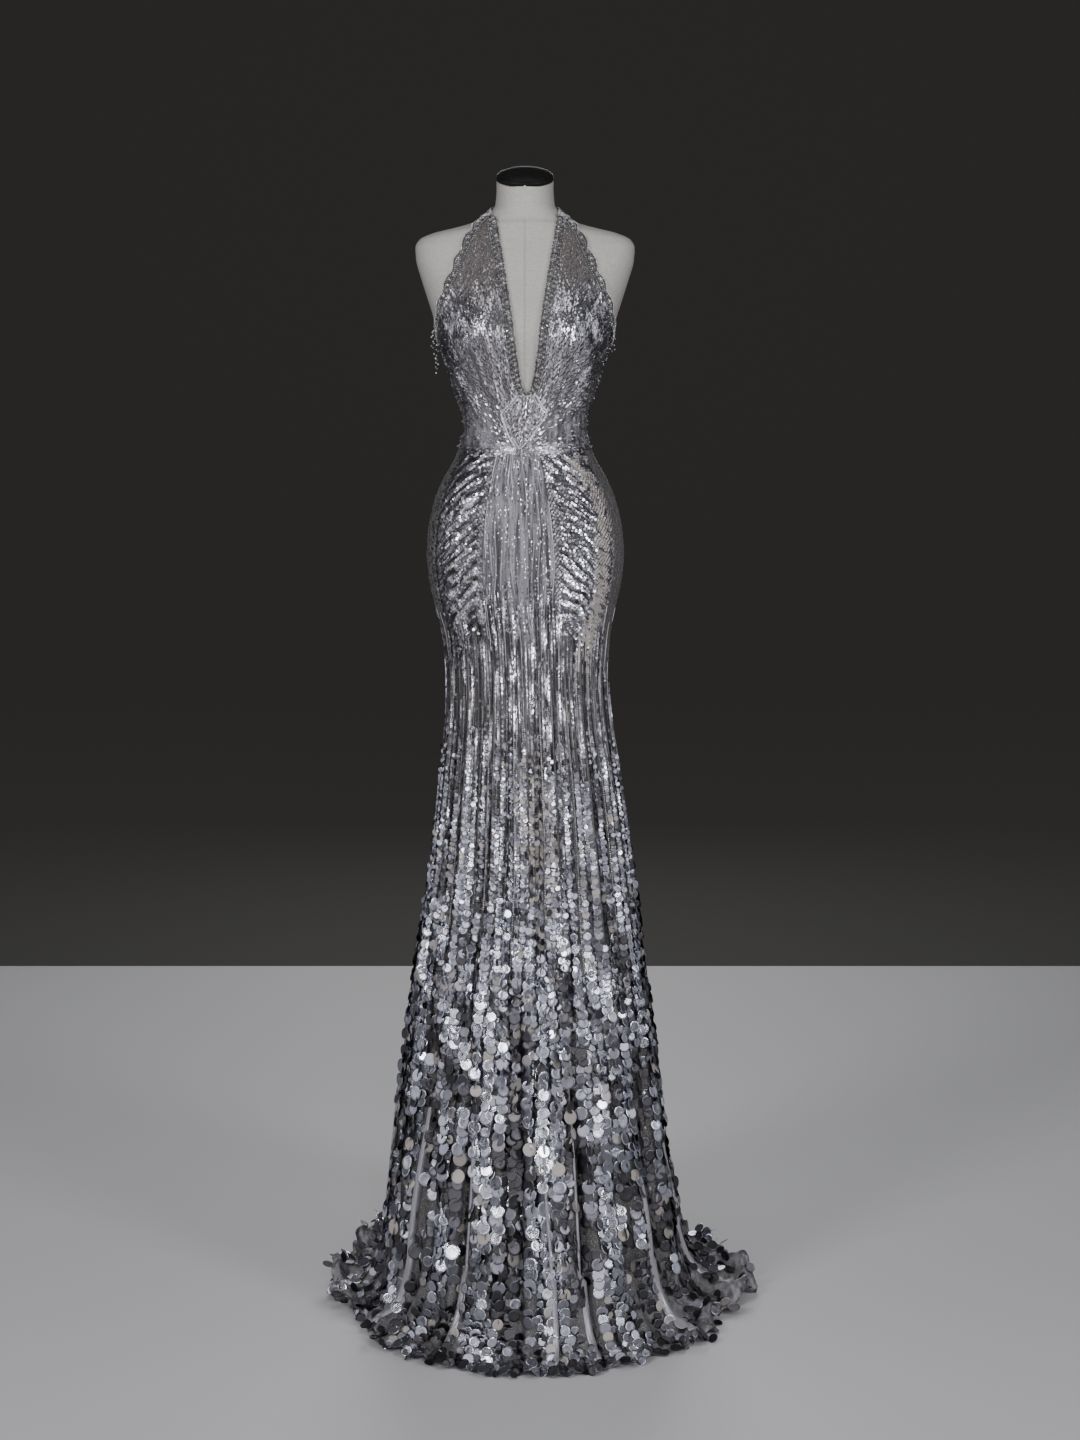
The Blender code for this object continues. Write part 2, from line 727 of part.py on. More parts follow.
def flounce_base(angle, share):
    """Return the smooth flounce, from the skirt (share 0) to its edge on the floor (share 1)."""
    out = CLOTH_GAP + CLOTH + fold_depth(angle, HEM_TOP)
    top = cloth_point(angle, HEM_TOP - HEM_SEAM_GAP, out)
    reach = read_table(HEM, angle, "reach")
    outward = outward_of(angle)
    drift = np.array([BODY[0].drift, 0.0, 0.0])
    edge = drift + outward * reach[..., None]
    edge[..., 2] = HEM_LIE + CLOTH
    run = np.linalg.norm(edge[..., :2] - top[..., :2], axis=-1)[..., None]
    down = np.array([0.0, 0.0, -FLOUNCE_DROP])
    leave = top + down + outward * FLOUNCE_LEAVE * run
    arrive = edge - outward * FLOUNCE_FLAT * run
    t = np.asarray(share)[..., None]
    s = 1.0 - t
    return s**3 * top + 3 * s * s * t * leave + 3 * s * t * t * arrive + t**3 * edge


def flounce_wall(angle, share, crest):
    """Return the outside and inside points of the flounce with its ruffles."""
    right = flounce_base(angle + FLOUNCE_TURN, share)
    left = flounce_base(angle - FLOUNCE_TURN, share)
    high = flounce_base(angle, share - FLOUNCE_STEP)
    low = flounce_base(angle, share + FLOUNCE_STEP)
    turned = ease(share / TOP_SHARE)[..., None]
    upright = body_normal(angle, np.full_like(angle, HEM_TOP))
    sloping = unit(np.cross(right - left, high - low))
    normal = unit(upright * (1.0 - turned) + sloping * turned)
    grown = ease((share - RUFFLE_START) / (1.0 - RUFFLE_START))
    pleat = crest * read_table(PLEATS, HEM_TOP, "depth") * (1.0 - grown)
    lift = crest * read_table(HEM, angle, "lift") * grown
    sway = outward_of(angle) * (RUFFLE_SWAY * (crest - 0.5) * grown)[..., None]
    outer = flounce_base(angle, share) + normal * (pleat + lift)[..., None] + sway
    return outer, outer - normal * CLOTH


def make_flounce_part(name, angles, first_index, material, group):
    """Make one stretch of the flounce under the given columns of the skirt."""
    share = np.linspace(1.0, 0.0, HEM_ROWS + 1)
    angle, share = np.meshgrid(angles, share)
    index = first_index + np.arange(len(angles))
    crest = np.broadcast_to(ruffle_crest(index), angle.shape)
    top_crest = np.broadcast_to(index % 2, angle.shape)
    crest = np.where(share > 0.0, crest, top_crest)
    outer, inner = flounce_wall(angle, share, crest)
    return join_wall(name, outer, inner, material, group)


def make_flounce(material, group):
    """Make the hem flounce in three stretches that carry on the skirt panels' columns."""
    edges = skirt_edges()

    def columns(start, end, count):
        return panel_grid(edges[start], edges[end], count)[0][0]

    left = columns("side_left", "front_left", SIDE_COLUMNS)
    middle = columns("front_left", "front_right", FRONT_COLUMNS)
    right = columns("front_right", "side_right", SIDE_COLUMNS)
    front = np.concatenate([left[:-1], middle, right[1:]])
    back_left = columns("back_left", "side_left", BACK_COLUMNS)
    back_right = columns("side_right", "back_right", BACK_COLUMNS)
    return [
        make_flounce_part("hem_flounce_front", front, 0, material, group),
        make_flounce_part("hem_flounce_back_left", back_left, 0, material, group),
        make_flounce_part("hem_flounce_back_right", back_right, 0, material, group),
    ]


def bodice_heights():
    """Return the bodice rows, from the waist past the neckline's point and armhole to the neck."""
    low = np.linspace(WAIST_Z + WAIST_GAP, NECKLINE_POINT, BODICE_WAIST_ROWS, endpoint=False)
    middle = np.linspace(NECKLINE_POINT, ARMHOLE_Z, BODICE_BUST_ROWS, endpoint=False)
    underarm = np.linspace(ARMHOLE_Z, UNDERARM_Z, BODICE_UNDERARM_ROWS, endpoint=False)
    high = np.linspace(UNDERARM_Z, SHOULDER_Z, BODICE_CHEST_ROWS, endpoint=False)
    top = np.linspace(SHOULDER_Z, BODICE_TOP, BODICE_SHOULDER_ROWS + 1)
    return np.concatenate([low, middle, underarm, high, top])


def centre_line(z):
    """Return x of the line where the two fronts meet, which slants to the foot of the motif."""
    return np.interp(z, [WAIST_Z, NECKLINE_POINT], [MOTIF_FOOT, NECKLINE_CENTRE])


def neckline_x(side, z):
    """Return x of a front's inner edge."""
    return centre_line(z) + side * read_table(NECKLINE, z, 1)


def armhole_angle(side, z):
    """Return the angle of a front's outer edge: the side seam, then the armhole."""
    side_seam = SIDE_SEAM - seam_turn(SIDE_SEAM, z)
    return side * np.minimum(read_table(ARMHOLE, z, 1), side_seam)


def scallop_wave(side, z):
    """Return a share from 0 to 1 for each row: 1 on the scallops' crowns along the armhole."""
    edge = body_point(armhole_angle(side, z), z)
    step = np.linalg.norm(np.diff(edge, axis=0), axis=-1) * (z[1:] > ARMHOLE_Z + LEVEL)
    length = np.concatenate([[0.0], np.cumsum(step)])
    return np.abs(np.sin(np.pi * length / SCALLOP_LENGTH))


def front_shares(side, z):
    """Return where a front's band ends and its edging begins, and how far the scallops reach.

    Each is a share of the way from the neckline to the armhole or side seam.
    """
    start = angle_at(neckline_x(side, z), z)
    end = armhole_angle(side, z)
    width = np.abs(end - start)
    wave = scallop_wave(side, z)
    band = arc_turn(BAND_WIDTH, start + side * EDGE_STEP, z) / width
    edging = 1.0 - arc_turn(EDGING_WIDTH, end - side * EDGE_STEP, z) / width
    reach = 1.0 + arc_turn(SCALLOP_STAND + SCALLOP * wave, end + side * EDGE_STEP, z) / width
    return np.minimum(band, BAND_SHARE), np.maximum(edging, EDGING_SHARE), reach


def front_grid(side, z, shares):
    """Turn shares of the way across a front into a grid of angles, from -X to +X."""
    start = angle_at(neckline_x(side, z), z)[:, None]
    end = armhole_angle(side, z)[:, None]
    angle = start + (end - start) * np.stack(shares, axis=-1)
    if side < 0:
        angle = angle[:, ::-1]
    return angle, np.broadcast_to(z[:, None], angle.shape)


def make_bodice_front(name, side, material, group):
    """Make one halter front, from the waist seam up to the neck."""
    z = bodice_heights()
    band, edging, _ = front_shares(side, z)
    middle = np.linspace(band, edging, BODICE_COLUMNS)
    shares = [0.0 * band, band / 2.0, *middle, 0.0 * band + 1.0]
    angle, z = front_grid(side, z, shares)
    outer = cloth_point(angle, z, CLOTH_GAP + CLOTH)
    inner = cloth_point(angle, z, CLOTH_GAP)
    return join_wall(name, outer, inner, material, group, mirrored=side < 0)


def make_bodice_back(name, side, material, group):
    """Make one half of the low back, from the side seam to the centre back seam."""
    rows = bodice_heights()
    rows = rows[rows < ARMHOLE_Z + LEVEL]
    low = rows[0]
    share = ((rows - low) / (rows[-1] - low))[:, None]
    top = read_table(BACK_TOP, np.linspace(SIDE_SEAM, 180.0, BODICE_BACK_COLUMNS + 1), 1)
    z = low + (top - low) * share
    first = SIDE_SEAM + seam_turn(SIDE_SEAM, z[:, :1])
    last = 180.0 - seam_turn(180.0, z[:, -1:])
    angle = first + (last - first) * np.linspace(0.0, 1.0, BODICE_BACK_COLUMNS + 1)
    if side < 0:
        angle = -angle[:, ::-1]
        z = z[:, ::-1]
    outer = cloth_point(angle, z, CLOTH_GAP + CLOTH)
    inner = cloth_point(angle, z, CLOTH_GAP)
    return join_wall(name, outer, inner, material, group, mirrored=side < 0)


def make_applique(name, angle, z, material, group, mirrored=False):
    """Make a thin piece that lies on a panel: the panel's points, moved out."""
    outer = cloth_point(angle, z, ON_PANEL + APPLIQUE)
    inner = cloth_point(angle, z, ON_PANEL)
    return join_wall(name, outer, inner, material, group, mirrored)


def make_neckline_band(name, side, material, group):
    """Make the beaded band beside the neckline, on the front's first columns."""
    z = bodice_heights()
    band, _, _ = front_shares(side, z)
    above = z > NECKLINE_POINT - LEVEL
    band = band[above]
    angle, z = front_grid(side, z[above], [0.0 * band, band / 2.0, band])
    return make_applique(name, angle, z, material, group, mirrored=side < 0)


def make_armhole_edging(name, side, material, group):
    """Make the scalloped edging on the front's last column, which stands past the armhole."""
    z = bodice_heights()
    above = z > ARMHOLE_Z - LEVEL
    z = z[above]
    _, edging, reach = front_shares(side, z)
    angle, z = front_grid(side, z, [edging, 0.0 * edging + 1.0, reach])
    return make_applique(name, angle, z, material, group, mirrored=side < 0)


def make_motif(material, group):
    """Make the beaded kite below the neckline's point."""
    z = bodice_heights()
    z = np.append(z[z < NECKLINE_POINT - LEVEL], NECKLINE_POINT - SEAM_GAP)
    half = read_table(MOTIF, z, 1)
    first = angle_at(centre_line(z) - half, z)[:, None]
    last = angle_at(centre_line(z) + half, z)[:, None]
    angle = first + (last - first) * np.linspace(0.0, 1.0, MOTIF_COLUMNS + 1)
    z = np.broadcast_to(z[:, None], angle.shape)
    return make_applique("centre_motif", angle, z, material, group)


def make_neck_strap(material, group):
    """Make the strap that joins the two fronts behind the neck."""
    start = STRAP[0][0]
    angle = np.linspace(start, 360.0 - start, STRAP_COLUMNS + 1)
    folded = np.minimum(angle, 360.0 - angle)
    low = read_table(STRAP, folded, 1)
    high = read_table(STRAP, folded, 2)
    share = np.linspace(0.0, 1.0, STRAP_ROWS + 1)[:, None]
    z = low + (high - low) * share
    angle = np.broadcast_to(angle, z.shape)
    outer = cloth_point(angle, z, CLOTH_GAP + CLOTH)
    inner = cloth_point(angle, z, CLOTH_GAP)
    return join_wall("neck_strap", outer, inner, material, group)


def centre_on_origin(pieces):
    """Hang all pieces on one empty, moved so that the outline's middle is over the origin."""
    pivot = bpy.data.objects.new("gown_origin", None)
    bpy.context.scene.collection.objects.link(pivot)
    corners = []
    for piece in pieces:
        if piece.name.startswith("hem_flounce"):
            corners.extend(vertex.co[:2] for vertex in piece.data.vertices)
        piece.parent = pivot
    corners = np.array(corners)
    middle = (corners.min(axis=0) + corners.max(axis=0)) / 2.0
    pivot.location = (-middle[0], -middle[1], 0.0)
    bpy.context.view_layer.update()


def main():
    """Build the form, the stand and the gown."""
    clear_scene()
    group = make_collection(OBJECT)
    linen = make_material("linen", LINEN)
    black = make_material("black_wood", BLACK_WOOD)
    steel = make_material("steel", STEEL)
    iron = make_material("iron", IRON)
    mesh_cloth = make_material("silver_mesh", SILVER_MESH)
    sequin = make_material("silver_sequin", SILVER_SEQUIN)
    crystal = make_material("crystal", CRYSTAL)
    pieces = [make_torso(linen, group)]
    pieces += make_neck_cap(black, steel, group)
    pieces += make_stand(iron, group)
    for name, side in (("left", -1.0), ("right", 1.0)):
        pieces.append(make_bodice_front("bodice_front_" + name, side, mesh_cloth, group))
        pieces.append(make_bodice_back("bodice_back_" + name, side, mesh_cloth, group))
        pieces.append(make_neckline_band("neckline_band_" + name, side, crystal, group))
        pieces.append(make_armhole_edging("armhole_edging_" + name, side, crystal, group))
    pieces.append(make_motif(crystal, group))
    pieces.append(make_neck_strap(crystal, group))
    pieces += make_skirt(sequin, group)
    pieces += make_flounce(sequin, group)
    centre_on_origin(pieces)


main()
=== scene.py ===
"""The look of a sequinned halter evening gown on a limbless dress form with a pole stand.

Frame: metres, +Z up, the front faces -Y, and +X is to the right of someone who looks at the
front. Left and right in the names are as that person sees them.

Every cloth piece and every sewn-on piece lies on one body surface. A place on it is an angle in
degrees round the pole (0 at the front, rising towards +X) and a height.
"""

from __future__ import annotations

import json
import logging
import math
from collections.abc import Callable, Sequence
from dataclasses import dataclass, replace
from enum import Enum
from typing import NamedTuple

import bpy
import numpy as np
from mathutils import Matrix, Vector
from numpy.random import default_rng

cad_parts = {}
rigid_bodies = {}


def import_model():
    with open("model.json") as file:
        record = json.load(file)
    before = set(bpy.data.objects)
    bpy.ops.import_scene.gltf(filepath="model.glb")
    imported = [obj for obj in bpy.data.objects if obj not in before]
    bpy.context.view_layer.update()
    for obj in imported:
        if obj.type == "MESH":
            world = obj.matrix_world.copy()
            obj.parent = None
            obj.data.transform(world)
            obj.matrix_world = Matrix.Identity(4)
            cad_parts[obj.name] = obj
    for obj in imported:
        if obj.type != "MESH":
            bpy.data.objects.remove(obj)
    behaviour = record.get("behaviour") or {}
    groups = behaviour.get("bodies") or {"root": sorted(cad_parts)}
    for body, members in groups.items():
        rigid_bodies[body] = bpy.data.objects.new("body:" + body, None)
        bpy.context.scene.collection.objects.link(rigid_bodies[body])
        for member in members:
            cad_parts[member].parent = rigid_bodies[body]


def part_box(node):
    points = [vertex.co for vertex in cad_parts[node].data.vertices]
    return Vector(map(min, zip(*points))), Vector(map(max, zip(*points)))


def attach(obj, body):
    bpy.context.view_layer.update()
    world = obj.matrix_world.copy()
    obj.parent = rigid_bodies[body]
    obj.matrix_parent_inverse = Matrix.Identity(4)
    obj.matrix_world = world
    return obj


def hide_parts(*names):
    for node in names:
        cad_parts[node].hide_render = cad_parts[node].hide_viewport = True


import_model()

LOG = logging.getLogger("gown")
Array = np.ndarray
Surface = Callable[[Array, Array], Array]
Piece = bpy.types.Object
Material = bpy.types.Material

BODY_NAME = "root"
SEQUINS = "silver_sequin"  # the record's material slots for the cloth
MESH = "silver_mesh"
TRIM = "crystal_trim"

TURN = 2.0 * math.pi
WELD = 0.00001
CLOTH_GAP = 0.0011  # air between the form and the cloth
CLOTH = 0.0020  # cloth together with what is sewn on it
SHEET = 0.0006  # the bare cloth
WAIST_Z = 1.3572
HEM_TOP = 0.1195
HEM_LIE = 0.0008
SIDE_SEAM = 95.0
BUST_APART = 0.068
BUST_Z = 1.537
BUST_RADIUS = 0.052
BUST_RISE = 0.024
FORM_BUST_RISE = 0.0222
NECKLINE_POINT = 1.439
NECKLINE_CENTRE = 0.003
MOTIF_FOOT = -0.010
ARMHOLE_Z = 1.5200
BODICE_TOP = 1.7115
NECK_TOP = 1.772
NECK_TILT = 22.0
NECK_SEAM = 1.7065  # the form's seam at the foot of its neck
COLUMN_KNOTS = (0, 16, 34, 50, 68, 84)  # the columns at which the panels meet; a pleat takes two
COURSE_SLOPE = 0.75  # how steeply the ruches leave the centre panel
COURSE_BEND = 1.5  # and how much steeper they grow, for each metre
RUCHE_FOOT = 1.100
RUCHE_END_SIDE = 0.985
RUCHE_PITCH = 0.021
RUCHE_RISE = 0.0017
GATHERS = 12
GATHER_RISE = 0.0021
BODICE_GATHER = 0.0022
FOLD_FADE = 0.30
CRUMPLE_RISE = 0.008
RUFFLE_SWAY = 0.007
RUFFLE_START = 0.25
TAUPE_SEED = 37


class Section(NamedTuple):
    """One level section of the body surface: a squared oval round the pole."""

    z: float
    half_width: float
    front: float
    back: float
    squareness: float
    drift: float = 0.0


class Fold(NamedTuple):
    """One deep fold of the skirt: its angle, depth, half width in degrees and where it dies out."""

    angle: float
    depth: float
    width: float
    top: float


class FoldEdge(NamedTuple):
    """The proud edge of one pleat: its column, where it starts, and the side that it leans to."""

    column: float
    top: float
    lean: float


BODY = [
    Section(*row)
    for row in (
        (0.0, 0.24, 0.27, 0.29, 2.0, 0.013), (0.12, 0.229, 0.248, 0.264, 2.0, 0.013),
        (0.25, 0.211, 0.218, 0.233, 2.0, 0.01), (0.4, 0.194, 0.188, 0.202, 2.0, 0.009),
        (0.55, 0.174, 0.16, 0.173, 2.0, 0.008), (0.7, 0.1545, 0.135, 0.147, 2.0, 0.0095),
        (0.85, 0.137, 0.114, 0.126, 2.05, 0.007), (0.94, 0.126, 0.102, 0.115, 2.1, 0.0045),
        (1.0, 0.1235, 0.096, 0.109, 2.15, 0.003), (1.06, 0.128, 0.093, 0.106, 2.2, 0.002),
        (1.11, 0.139, 0.0925, 0.107, 2.2), (1.15, 0.148, 0.0925, 0.109, 2.2),
        (1.19, 0.1525, 0.0915, 0.1095, 2.2), (1.23, 0.15, 0.0895, 0.106, 2.2),
        (1.27, 0.1418, 0.086, 0.099, 2.2), (1.31, 0.1265, 0.0815, 0.089, 2.2),
        (1.34, 0.1098, 0.077, 0.0805, 2.2), (1.37, 0.0972, 0.073, 0.074, 2.2),
        (1.395, 0.0918, 0.071, 0.0715, 2.2), (1.43, 0.1005, 0.0735, 0.074, 2.25),
        (1.465, 0.112, 0.079, 0.078, 2.3), (1.5, 0.124, 0.085, 0.0815, 2.3),
        (1.53, 0.1345, 0.088, 0.084, 2.3), (1.56, 0.142, 0.087, 0.0855, 2.3),
        (1.59, 0.1515, 0.0815, 0.0855, 2.35), (1.62, 0.161, 0.074, 0.083, 2.4),
        (1.65, 0.169, 0.0645, 0.0775, 2.45), (1.668, 0.17, 0.0575, 0.072, 2.4),
        (1.68, 0.164, 0.053, 0.068, 2.3), (1.69, 0.143, 0.05, 0.064, 2.2),
        (1.697, 0.114, 0.048, 0.061, 2.15), (1.704, 0.088, 0.0465, 0.0575, 2.1),
        (1.712, 0.0705, 0.0455, 0.0535, 2.05), (1.72, 0.058, 0.0445, 0.05, 2.0),
        (1.734, 0.046, 0.0435, 0.046, 2.0), (1.76, 0.0441, 0.043, 0.0441, 2.0),
        (1.82, 0.0441, 0.043, 0.0441, 2.0),
    )
]
FOLDS = [
    Fold(*row)
    for row in (
        (-168.0, 0.014, 5.5, 0.72), (-143.0, 0.019, 5.0, 0.8), (-119.0, 0.016, 5.5, 0.66),
        (-97.0, 0.018, 5.0, 0.74), (-74.0, 0.013, 4.5, 0.6), (-51.0, 0.021, 5.0, 0.56),
        (-28.0, 0.015, 4.0, 0.5), (-5.0, 0.011, 4.0, 0.62), (20.0, 0.015, 4.0, 0.58),
        (41.0, 0.01, 4.0, 0.46), (58.0, 0.018, 5.0, 0.52), (82.0, 0.014, 5.0, 0.68),
        (104.0, 0.019, 5.5, 0.78), (129.0, 0.015, 5.0, 0.62), (152.0, 0.02, 5.5, 0.76),
    )
]
FOLD_EDGES = [
    FoldEdge(*row)
    for row in (
        (5.0, 0.55, -1.0), (11.0, 0.46, -1.0), (19.0, 0.42, -1.0), (27.0, 0.36, -1.0),
        (35.0, 0.4, -1.0), (45.0, 0.38, 1.0), (49.0, 0.39, 1.0), (57.0, 0.3, 1.0),
        (65.0, 0.4, 1.0), (73.0, 0.55, 1.0), (79.0, 0.48, 1.0),
    )
]
# Height, then the angles of the seams to the left and right of the centre front.
FRONT_SEAMS = (
    (0.12, -28.0, 20.0), (0.9, -26.0, 19.0), (1.2, -23.0, 15.0), (1.36, -22.0, 11.0),
)
# Angle, then the hem's reach from the pole and the height of its ruffles there.
HEM = (
    (-180.0, 0.45, 0.034), (-150.0, 0.405, 0.04), (-125.0, 0.352, 0.046), (-100.0, 0.33, 0.052),
    (-84.0, 0.326, 0.04), (-68.0, 0.296, 0.026), (-44.0, 0.322, 0.024), (-20.0, 0.324, 0.014),
    (0.0, 0.33, 0.012), (20.0, 0.326, 0.014), (43.0, 0.322, 0.018), (56.0, 0.338, 0.024),
    (66.0, 0.318, 0.03), (90.0, 0.348, 0.044), (110.0, 0.346, 0.048), (135.0, 0.372, 0.044),
    (158.0, 0.425, 0.038), (180.0, 0.45, 0.034),
)
# Angle, then the lower and upper edge of the strap behind the neck.
STRAP = (
    (42.0, 1.712, 1.7128), (55.0, 1.712, 1.718), (70.0, 1.712, 1.724), (90.0, 1.7125, 1.729),
    (135.0, 1.716, 1.7335), (180.0, 1.7175, 1.7345),
)
# Height, then how far the pleats stand out.
PLEAT_DEPTH = (
    (0.0, 0.0085), (0.4, 0.0075), (0.7, 0.005), (0.9, 0.0036), (1.04, 0.002), (1.09, 0.0012),
    (1.29, 0.001), (1.335, 0.0), (1.37, 0.0),
)
# Height, then the radius of the sequins.
SEQUIN_SIZE = (
    (0.0, 0.0102), (0.2, 0.0101), (0.38, 0.0094), (0.5, 0.008), (0.6, 0.0066), (0.72, 0.0051),
    (0.85, 0.0037), (1.0, 0.0026), (1.4, 0.0024),
)
# Height, then x of the strip of sequins that show their backs.
TAUPE_STRIP = (
    (1.03, 0.096), (1.057, 0.102), (1.12, 0.122), (1.2, 0.13), (1.277, 0.122), (1.33, 0.092),
    (1.365, 0.068),
)
# Height, then half the width of the neckline.
NECKLINE = (
    (NECKLINE_POINT, 0.00015), (1.447, 0.0045), (1.462, 0.0095), (1.492, 0.0145),
    (1.552, 0.0225), (1.612, 0.031), (1.672, 0.0405), (1.698, 0.0445), (1.714, 0.046),
)
# Height, then the angle of the armhole's edge.
ARMHOLE = (
    (ARMHOLE_Z, SIDE_SEAM), (1.528, 88.0), (1.537, 81.5), (1.548, 75.5), (1.56, 69.0),
    (1.584, 56.1), (1.614, 42.7), (1.644, 33.0), (1.675, 28.2), (1.69, 31.9), (1.702, 47.8),
    (1.714, 63.6),
)
# Angle, then the height of the low back's edge.
BACK_TOP = (
    (SIDE_SEAM, ARMHOLE_Z), (118.0, 1.482), (148.0, 1.446), (180.0, 1.436),
)
# Height, then half the width of the kite below the neckline.
MOTIF = (
    (1.3572, 0.003), (1.375, 0.016), (1.395, 0.0265), (1.412, 0.0335), (1.427, 0.0225),
    (1.439, 0.015),
)


def ease(t: Array | float) -> Array:
    """Rise smoothly from 0 to 1 as t goes from 0 to 1."""
    t = np.clip(t, 0.0, 1.0)
    return t * t * (3.0 - 2.0 * t)


def unit(vectors: Array) -> Array:
    """Scale vectors to length 1."""
    return vectors / np.maximum(np.linalg.norm(vectors, axis=-1, keepdims=True), 1e-12)


def swell(turns: Array) -> Array:
    """Rise from 0 to 1 and fall back over each turn."""
    return 0.5 - 0.5 * np.cos(TURN * turns)


def outward(angle: Array) -> Array:
    """Return level vectors that point away from the pole."""
    turn = np.radians(angle)
    return np.stack([np.sin(turn), -np.cos(turn), np.zeros_like(turn)], axis=-1)


def flat(*grids: Array) -> list[Array]:
    """Spread values over one grid and return each as a plain row."""
    return [grid.ravel() for grid in np.broadcast_arrays(*grids)]


def run_length(path: Array) -> Array:
    """Return the length along a line of points up to each of them."""
    steps = np.linalg.norm(np.diff(path, axis=0), axis=-1)
    return np.concatenate([[0.0], np.cumsum(steps)])


def link(item: Piece) -> None:
    """Put an object in the scene."""
    bpy.context.scene.collection.objects.link(item)


def wander(x: Array, y: Array, seed: int, waves: int = 7) -> Array:
    """Make a smooth uneven field from a few crossing waves.

    Args:
        x: First coordinate, in waves.
        y: Second coordinate, in waves.
        seed: Picks the waves.
        waves: How many waves are summed.

    Returns:
        Values that lie mostly between -1 and 1.
    """
    chance = default_rng(seed)
    total = np.zeros(np.broadcast(x, y).shape)
    for _ in range(waves):
        turn = chance.uniform(0.0, TURN)
        pitch = chance.uniform(0.6, 1.6) * TURN
        start = chance.uniform(0.0, TURN)
        total = total + np.sin(pitch * (x * math.cos(turn) + y * math.sin(turn)) + start)
    return total / math.sqrt(waves) * 0.9


class SmoothTable:
    """A smooth curve through a short table, which never overshoots its points."""

    def __init__(self, knots: Sequence[float], values: Sequence[float]) -> None:
        """Work out the slope at each knot.

        Args:
            knots: Rising places.
            values: The value at each.
        """
        self.knots = np.asarray(knots, float)
        self.values = np.asarray(values, float)
        self.step = np.diff(self.knots)
        slope = np.diff(self.values) / self.step
        self.tangent = np.concatenate([slope[:1], np.zeros(len(slope) - 1), slope[-1:]])
        for i in range(1, len(slope)):
            if slope[i - 1] * slope[i] > 0:
                self.tangent[i] = 2.0 / (1.0 / slope[i - 1] + 1.0 / slope[i])

    def __call__(self, x: Array | float) -> Array:
        """Read the curve at x.

        Args:
            x: Where to read it.

        Returns:
            The values there.
        """
        x = np.clip(np.asarray(x, float), self.knots[0], self.knots[-1])
        i = np.clip(np.searchsorted(self.knots, x, side="right") - 1, 0, len(self.step) - 1)
        t = (x - self.knots[i]) / self.step[i]
        rise = t * t * (3.0 - 2.0 * t)
        leave = t * (1.0 - t) ** 2 * self.step[i] * self.tangent[i]
        arrive = t * t * (t - 1.0) * self.step[i] * self.tangent[i + 1]
        return self.values[i] * (1.0 - rise) + self.values[i + 1] * rise + leave + arrive


def table(rows: Sequence[tuple], column: int = 1) -> SmoothTable:
    """Make the smooth curve of one column of a table over its first column."""
    return SmoothTable([row[0] for row in rows], [row[column] for row in rows])


class BodySurface:
    """The surface that the form fills and that all cloth lies on."""

    def __init__(self, axis: tuple[float, float]) -> None:
        """Read the tables.

        Args:
            axis: Where the pole stands, as (x, y).
        """
        self.axis = axis
        curves = [table(BODY, column) for column in range(1, 6)]
        self.half_width, self.front, self.back, self.squareness, self.drift = curves

    def point(self, angle: Array, z: Array, bust_rise: float = BUST_RISE) -> Array:
        """Return the points of the surface at the angles and heights.

        Args:
            angle: Degrees round the pole.
            z: Heights.
            bust_rise: How far the bust stands out.

        Returns:
            Points whose last axis is x, y and z.
        """
        angle, z = np.broadcast_arrays(np.asarray(angle, float), np.asarray(z, float))
        side = np.sin(np.radians(angle))
        ahead = np.cos(np.radians(angle))
        power = 2.0 / self.squareness(z)
        depth = np.where(ahead > 0, self.front(z), self.back(z))
        x = self.half_width(z) * np.sign(side) * np.abs(side) ** power
        y = -depth * np.sign(ahead) * np.abs(ahead) ** power
        for cup in (-BUST_APART, BUST_APART):
            away = ((x - cup) ** 2 + (z - BUST_Z) ** 2) / BUST_RADIUS**2
            y = y - bust_rise * np.exp(-away) * np.clip(ahead, 0.0, 1.0)
        return np.stack([x + self.drift(z) + self.axis[0], y + self.axis[1], z], axis=-1)

    def normal(self, angle: Array, z: Array) -> Array:
        """Return the outward normals of the surface.

        Args:
            angle: Degrees round the body.
            z: Heights over the floor.

        Returns:
            A unit vector for each place.
        """
        turn = 0.4
        rise = 0.0008
        across = self.point(np.add(angle, turn), z) - self.point(np.subtract(angle, turn), z)
        up = self.point(angle, np.add(z, rise)) - self.point(angle, np.subtract(z, rise))
        return unit(np.cross(across, up))

    def offset(self, angle: Array, z: Array, out: Array | float) -> Array:
        """Return points that lie `out` off the surface."""
        angle, z, out = np.broadcast_arrays(angle, z, out)
        return self.point(angle, z) + self.normal(angle, z) * out[..., None]

    def angle_at(self, x: Array, z: Array) -> Array:
        """Return the angle on the front at which the surface is x from the middle."""
        share = np.clip(np.abs(x) / self.half_width(z), 0.0, 1.0)
        return np.sign(x) * np.degrees(np.arcsin(share ** (self.squareness(z) / 2.0)))

    def degrees_for(self, length: Array | float, angle: Array, z: Array) -> Array:
        """Return the angle that a length along the surface covers at the place."""
        reach = self.point(np.add(angle, 0.5), z) - self.point(np.subtract(angle, 0.5), z)
        return length / np.linalg.norm(reach, axis=-1)


